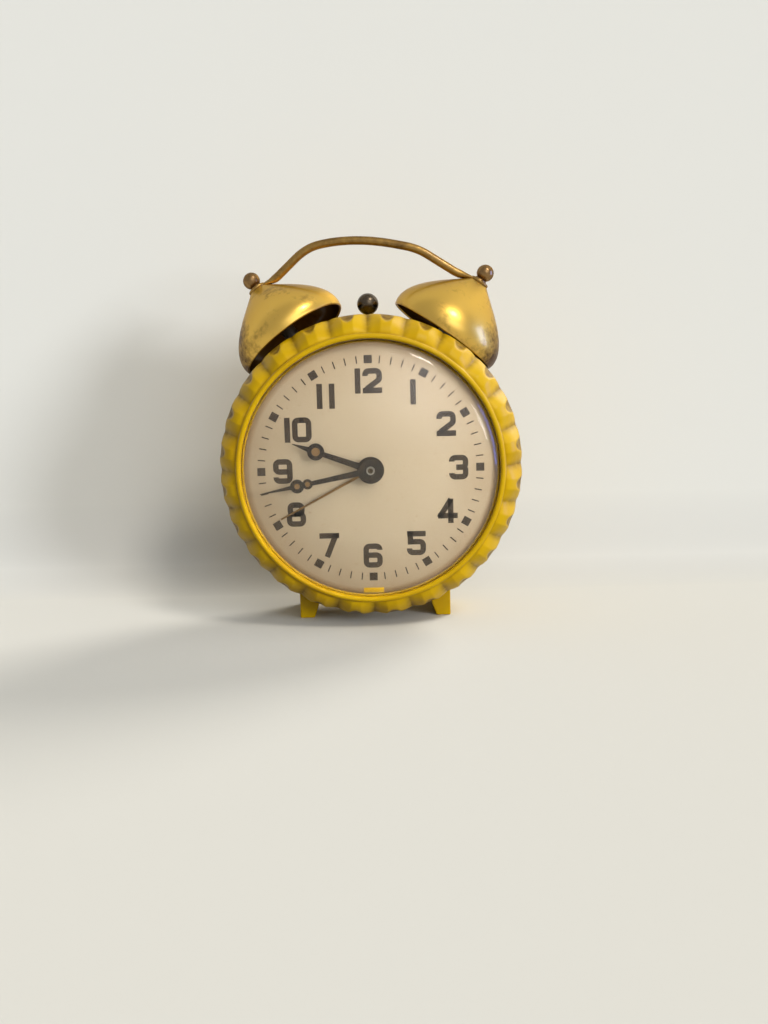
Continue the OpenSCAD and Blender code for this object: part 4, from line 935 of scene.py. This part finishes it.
class CLOCK_OT_hands(bpy.types.Operator):
    """Stamped hands with broken edges"""

    bl_idname = "clock.hands"
    bl_label = "Hands"

    def execute(self, context):
        edge = sizes().edge
        for node in ("minute_hand", "hour_hand", "alarm_hand"):
            broken_edges(node, edge / 2)
        for drop in PASTE:
            self.paste(*drop)
        return {"FINISHED"}

    def paste(self, node, name, out, radius, turn, depth):
        """A drop of aged luminous paste that fills an eye of a hand."""
        a, r, thick = math.radians(turn), radius * MM, 0.2
        bm = bmesh.new()
        bmesh.ops.create_cone(bm, cap_ends=True, segments=32, radius1=r, radius2=r, depth=thick * MM)
        middle = Vector((out * math.sin(a), -out * math.cos(a), depth + thick / 2)) * MM
        place = CLOCK @ Matrix.Translation(middle)
        piece(bm, name, frame["nodes"][node]["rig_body"], "ivory_paint", place, material="aged_paste")


# Bells and hammer

# Radius of the hole for a post through a bell, the handle's eye and a nut, in millimetres
BORE = 1.14


class CLOCK_OT_bells(bpy.types.Operator):
    """Two spun bells and the ball nuts that hold them"""

    bl_idname = "clock.bells"
    bl_label = "Bells"

    def execute(self, context):
        for side, name in ((-1, "left"), (1, "right")):
            self.bell(side, name)
            self.nut(side, name)
        return {"FINISHED"}

    def bell(self, side, name):
        s = sizes()
        r, h, wall = s.bell_radius / MM, s.bell_height / MM, s.bell_wall / MM
        outer = (
            [(BORE, h), (3.0, h)]
            + bezier([(3.5, h - 0.12), (0.39 * r, 0.815 * h), (1.13 * r, 0.4 * h), (r, 0.45)], 40)
            + arc((r - 0.4, 0.4), 0.4, 0, -180, 8)
        )
        inner = bezier(
            [
                (r - wall, 0.5),
                (1.13 * r - wall, 0.4 * h - 0.4 * wall),
                (0.39 * r - 0.6 * wall, 0.82 * h - 0.8 * wall),
                (3.5 - 0.4 * wall, h - wall),
            ],
            24,
        ) + [(BORE, h - wall)]
        bm = lathe(outer + inner, 144)
        # darker towards the crown under the nut, painted shade on each bell's outer side, and tarnish all
        # over the inside
        grime = bm.verts.layers.float.new("grime")
        for v in bm.verts:
            high = v.co.z / MM / h
            outer_shade = max(0.0, side * v.co.x / s.bell_radius - 0.35)
            v[grime] = 0.55 * max(0.0, high - 0.75) / 0.25 + 1.9 * outer_shade
            inside = radius_at(outer, v.co.z / MM) - math.hypot(v.co.x, v.co.y) / MM
            if inside > 0.3 and high < 0.95:
                v[grime] = 2.5
        piece(bm, f"bell_{name}_dome", "case", "bell_brass", bell_frame(side), (f"bell_{name}",))

    def nut(self, side, name):
        s = sizes()
        foot = (s.bell_height + s.eye_sheet) / MM
        ball = s.ball / MM
        middle = foot + 0.2 + ball
        profile = (
            [(0, middle + 0.1), (BORE, middle + 0.1), (BORE, foot + 0.02), (2.0, foot + 0.02)]
            + [(2.2, foot + 0.2), (2.05, foot + 0.5), (1.7, foot + 0.75)]
            + arc((0, middle), ball, -54, 90, 22)[:-1]
            + [(0, middle + ball)]
        )
        bm = lathe(profile, 64, shut=False)
        piece(bm, f"ball_nut_{name}_turned", "case", "dark_brass", bell_frame(side), (f"ball_nut_{name}",))


class CLOCK_OT_handle(bpy.types.Operator):
    """Wire handle, flattened to an eye under each ball nut"""

    bl_idname = "clock.handle"
    bl_label = "Handle"

    def execute(self, context):
        s = sizes()
        bm = bmesh.new()
        ring = bmesh.ops.create_circle(bm, cap_ends=True, radius=1.0, segments=20)["verts"]
        shapes = self.sections(self.path())
        bmesh.ops.transform(bm, matrix=shapes[0], verts=ring)
        edges = list({e for v in ring for e in v.link_edges})
        for before, after in zip(shapes, shapes[1:]):
            grown = bmesh.ops.extrude_edge_only(bm, edges=edges)["geom"]
            verts = verts_of(grown)
            bmesh.ops.transform(bm, matrix=after @ before.inverted(), verts=verts)
            edges = [e for e in edges_of(grown) if all(v in verts for v in e.verts)]
        bmesh.ops.contextual_create(bm, geom=edges)
        for side in (-1, 1):
            low, r = s.bell_height / MM, s.eye / MM
            top = low + s.eye_sheet / MM
            eye = lathe(
                [
                    (BORE, low), (r - 0.2, low), (r, low + 0.25),
                    (r, top - 0.25), (r - 0.2, top), (BORE, top),
                ],
                48,
            )
            bmesh.ops.transform(eye, matrix=bell_frame(side), verts=eye.verts)
            spare = bpy.data.meshes.new("eye")
            eye.to_mesh(spare)
            eye.free()
            bm.from_mesh(spare)
            bpy.data.meshes.remove(spare)
        piece(bm, "handle_wire", "case", "bell_brass", None, ("handle",), crisp=45, material="handle_brass")
        return {"FINISHED"}

    def path(self):
        """Points out of one eye, round its bend, over the arch and down to the other eye."""
        s = sizes()
        up = s.bell_height + s.eye_sheet / 2
        eyes = {side: bell_frame(side) @ Vector((0, 0, up)) for side in (-1, 1)}
        axes = {side: bell_frame(side).to_3x3() @ Vector((0, 0, 1)) for side in (-1, 1)}
        # the arch's height over the left eye, and its two bends: in from their eyes and under the crest
        top = eyes[-1].z + 16.0 * MM
        left_in, left_under, right_in, right_under = 16.7 * MM, 2.9 * MM, 19.9 * MM, 4.2 * MM

        def at(x, z):
            share = (x - eyes[-1].x) / (eyes[1].x - eyes[-1].x)
            return Vector((x, eyes[-1].y + share * (eyes[1].y - eyes[-1].y), z))

        crest = at(-3.5 * MM, top)
        bends = {
            -1: at(eyes[-1].x + left_in, top - left_under),
            1: at(eyes[1].x - right_in, top - right_under),
        }
        ends, knees = {}, {}
        for side in (-1, 1):
            way = bends[side] - eyes[side]
            way = (way - axes[side] * way.dot(axes[side])).normalized()
            ends[side] = eyes[side] + way * (s.eye - 0.8 * MM)
            strap, dip = (6.6 * MM, 0.5 * MM) if side < 0 else (7.4 * MM, 1.1 * MM)
            knees[side] = eyes[side] + way * strap - axes[side] * (s.eye_sheet / 2 + dip)

        def bend(p, q, r, before, after, steps):
            a, b = q + (p - q) * before, q + (r - q) * after
            shares = [i / steps for i in range(steps + 1)]
            return [(1 - t) ** 2 * a + 2 * (1 - t) * t * q + t * t * b for t in shares]

        return (
            [ends[-1]]
            + bend(ends[-1], knees[-1], bends[-1], 0.45, 0.12, 8)
            + bend(knees[-1], bends[-1], crest, 0.36, 0.28, 14)
            + bend(bends[-1], crest, bends[1], 0.68, 0.64, 20)
            + bend(crest, bends[1], knees[1], 0.22, 0.24, 14)
            + bend(bends[1], knees[1], ends[1], 0.12, 0.4, 8)
            + [ends[1]]
        )

    def sections(self, path):
        """A matrix for each point: the wire's section, flat at the eyes and round a little further on."""
        s = sizes()
        flat_run, flat_half = 5 * MM, 2.0 * MM
        run = [0.0]
        for a, b in zip(path, path[1:]):
            run.append(run[-1] + (b - a).length)
        out = []
        for i, p in enumerate(path):
            along = (path[min(i + 1, len(path) - 1)] - path[max(i - 1, 0)]).normalized()
            flat = along.cross(Vector((0, 1, 0))).normalized()
            wide = flat.cross(along)
            near = min(run[i], run[-1] - run[i])
            share = min(1.0, near / flat_run)
            share = share * share * (3 - 2 * share)
            thin = 0.46 * s.eye_sheet * (1 - share) + s.wire * share
            broad = flat_half * (1 - share) + s.wire * share
            turn = Matrix((flat, wide, along)).transposed().to_4x4()
            out.append(Matrix.Translation(p) @ turn @ Matrix.Diagonal((thin, broad, 1.0, 1.0)))
        return out


class CLOCK_OT_hammer(bpy.types.Operator):
    """Hammer's turned ball on its rod"""

    bl_idname = "clock.hammer"
    bl_label = "Hammer"

    def execute(self, context):
        s = sizes()
        r = s.hammer / MM
        low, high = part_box("hammer_head")
        profile = (
            [(0, 0.1), (0.93, 0.1), (0.93, -r + 0.16)] + arc((0, 0), r, -73, 90, 26)[:-1] + [(0, r)]
        )
        place = Matrix.Translation((low + high) / 2)
        piece(lathe(profile, 64, shut=False), "hammer_ball", "hammer", "gunmetal", place, ("hammer_head",))
        return {"FINISHED"}


# Controls and movement


class CLOCK_OT_controls(bpy.types.Operator):
    """Keys, knobs, regulator and alarm stop at the back"""

    bl_idname = "clock.controls"
    bl_label = "Controls"

    def execute(self, context):
        edge = sizes().edge
        for node in ("time_key", "alarm_key", "set_knob", "alarm_set_knob"):
            broken_edges(node, edge)
        for node in ("regulator", "alarm_stop"):
            broken_edges(node, edge / 2)
        return {"FINISHED"}


class CLOCK_OT_movement(bpy.types.Operator):
    """Finishes of every other piece of the frame"""

    bl_idname = "clock.movement"
    bl_label = "Movement"

    def execute(self, context):
        for node, cad in frame["nodes"].items():
            cad.data.materials.clear()
            cad.data.materials.append(finish("gunmetal" if node == "center_arbor" else SLOT_OF[node]))
        return {"FINISHED"}


# Add-on

STEPS = (
    CLOCK_OT_stage,
    CLOCK_OT_case,
    CLOCK_OT_bezel,
    CLOCK_OT_crystal,
    CLOCK_OT_dial,
    CLOCK_OT_hands,
    CLOCK_OT_bells,
    CLOCK_OT_handle,
    CLOCK_OT_hammer,
    CLOCK_OT_controls,
    CLOCK_OT_movement,
)


class CLOCK_PT_panel(bpy.types.Panel):
    """Lists the steps, sizes and colours"""

    bl_idname = "CLOCK_PT_panel"
    bl_label = "Twin-Bell Alarm Clock"
    bl_space_type = "VIEW_3D"
    bl_region_type = "UI"
    bl_category = "Clock"

    def draw(self, context):
        for step in STEPS:
            self.layout.operator(step.bl_idname)
        for group in (context.scene.clock_sizes, context.scene.clock_colours):
            box = self.layout.box()
            for name in group.__annotations__:
                box.prop(group, name)


CLASSES = (ClockSizes, ClockColours) + STEPS + (CLOCK_PT_panel,)


def register():
    for cls in CLASSES:
        bpy.utils.register_class(cls)
    bpy.types.Scene.clock_sizes = PointerProperty(type=ClockSizes)
    bpy.types.Scene.clock_colours = PointerProperty(type=ClockColours)


def unregister():
    del bpy.types.Scene.clock_colours
    del bpy.types.Scene.clock_sizes
    for cls in reversed(CLASSES):
        bpy.utils.unregister_class(cls)


def main():
    register()
    bpy.ops.clock.stage()
    bpy.ops.clock.case()
    bpy.ops.clock.bezel()
    bpy.ops.clock.crystal()
    bpy.ops.clock.dial()
    bpy.ops.clock.hands()
    bpy.ops.clock.bells()
    bpy.ops.clock.handle()
    bpy.ops.clock.hammer()
    bpy.ops.clock.controls()
    bpy.ops.clock.movement()


if __name__ == "__main__":
    main()
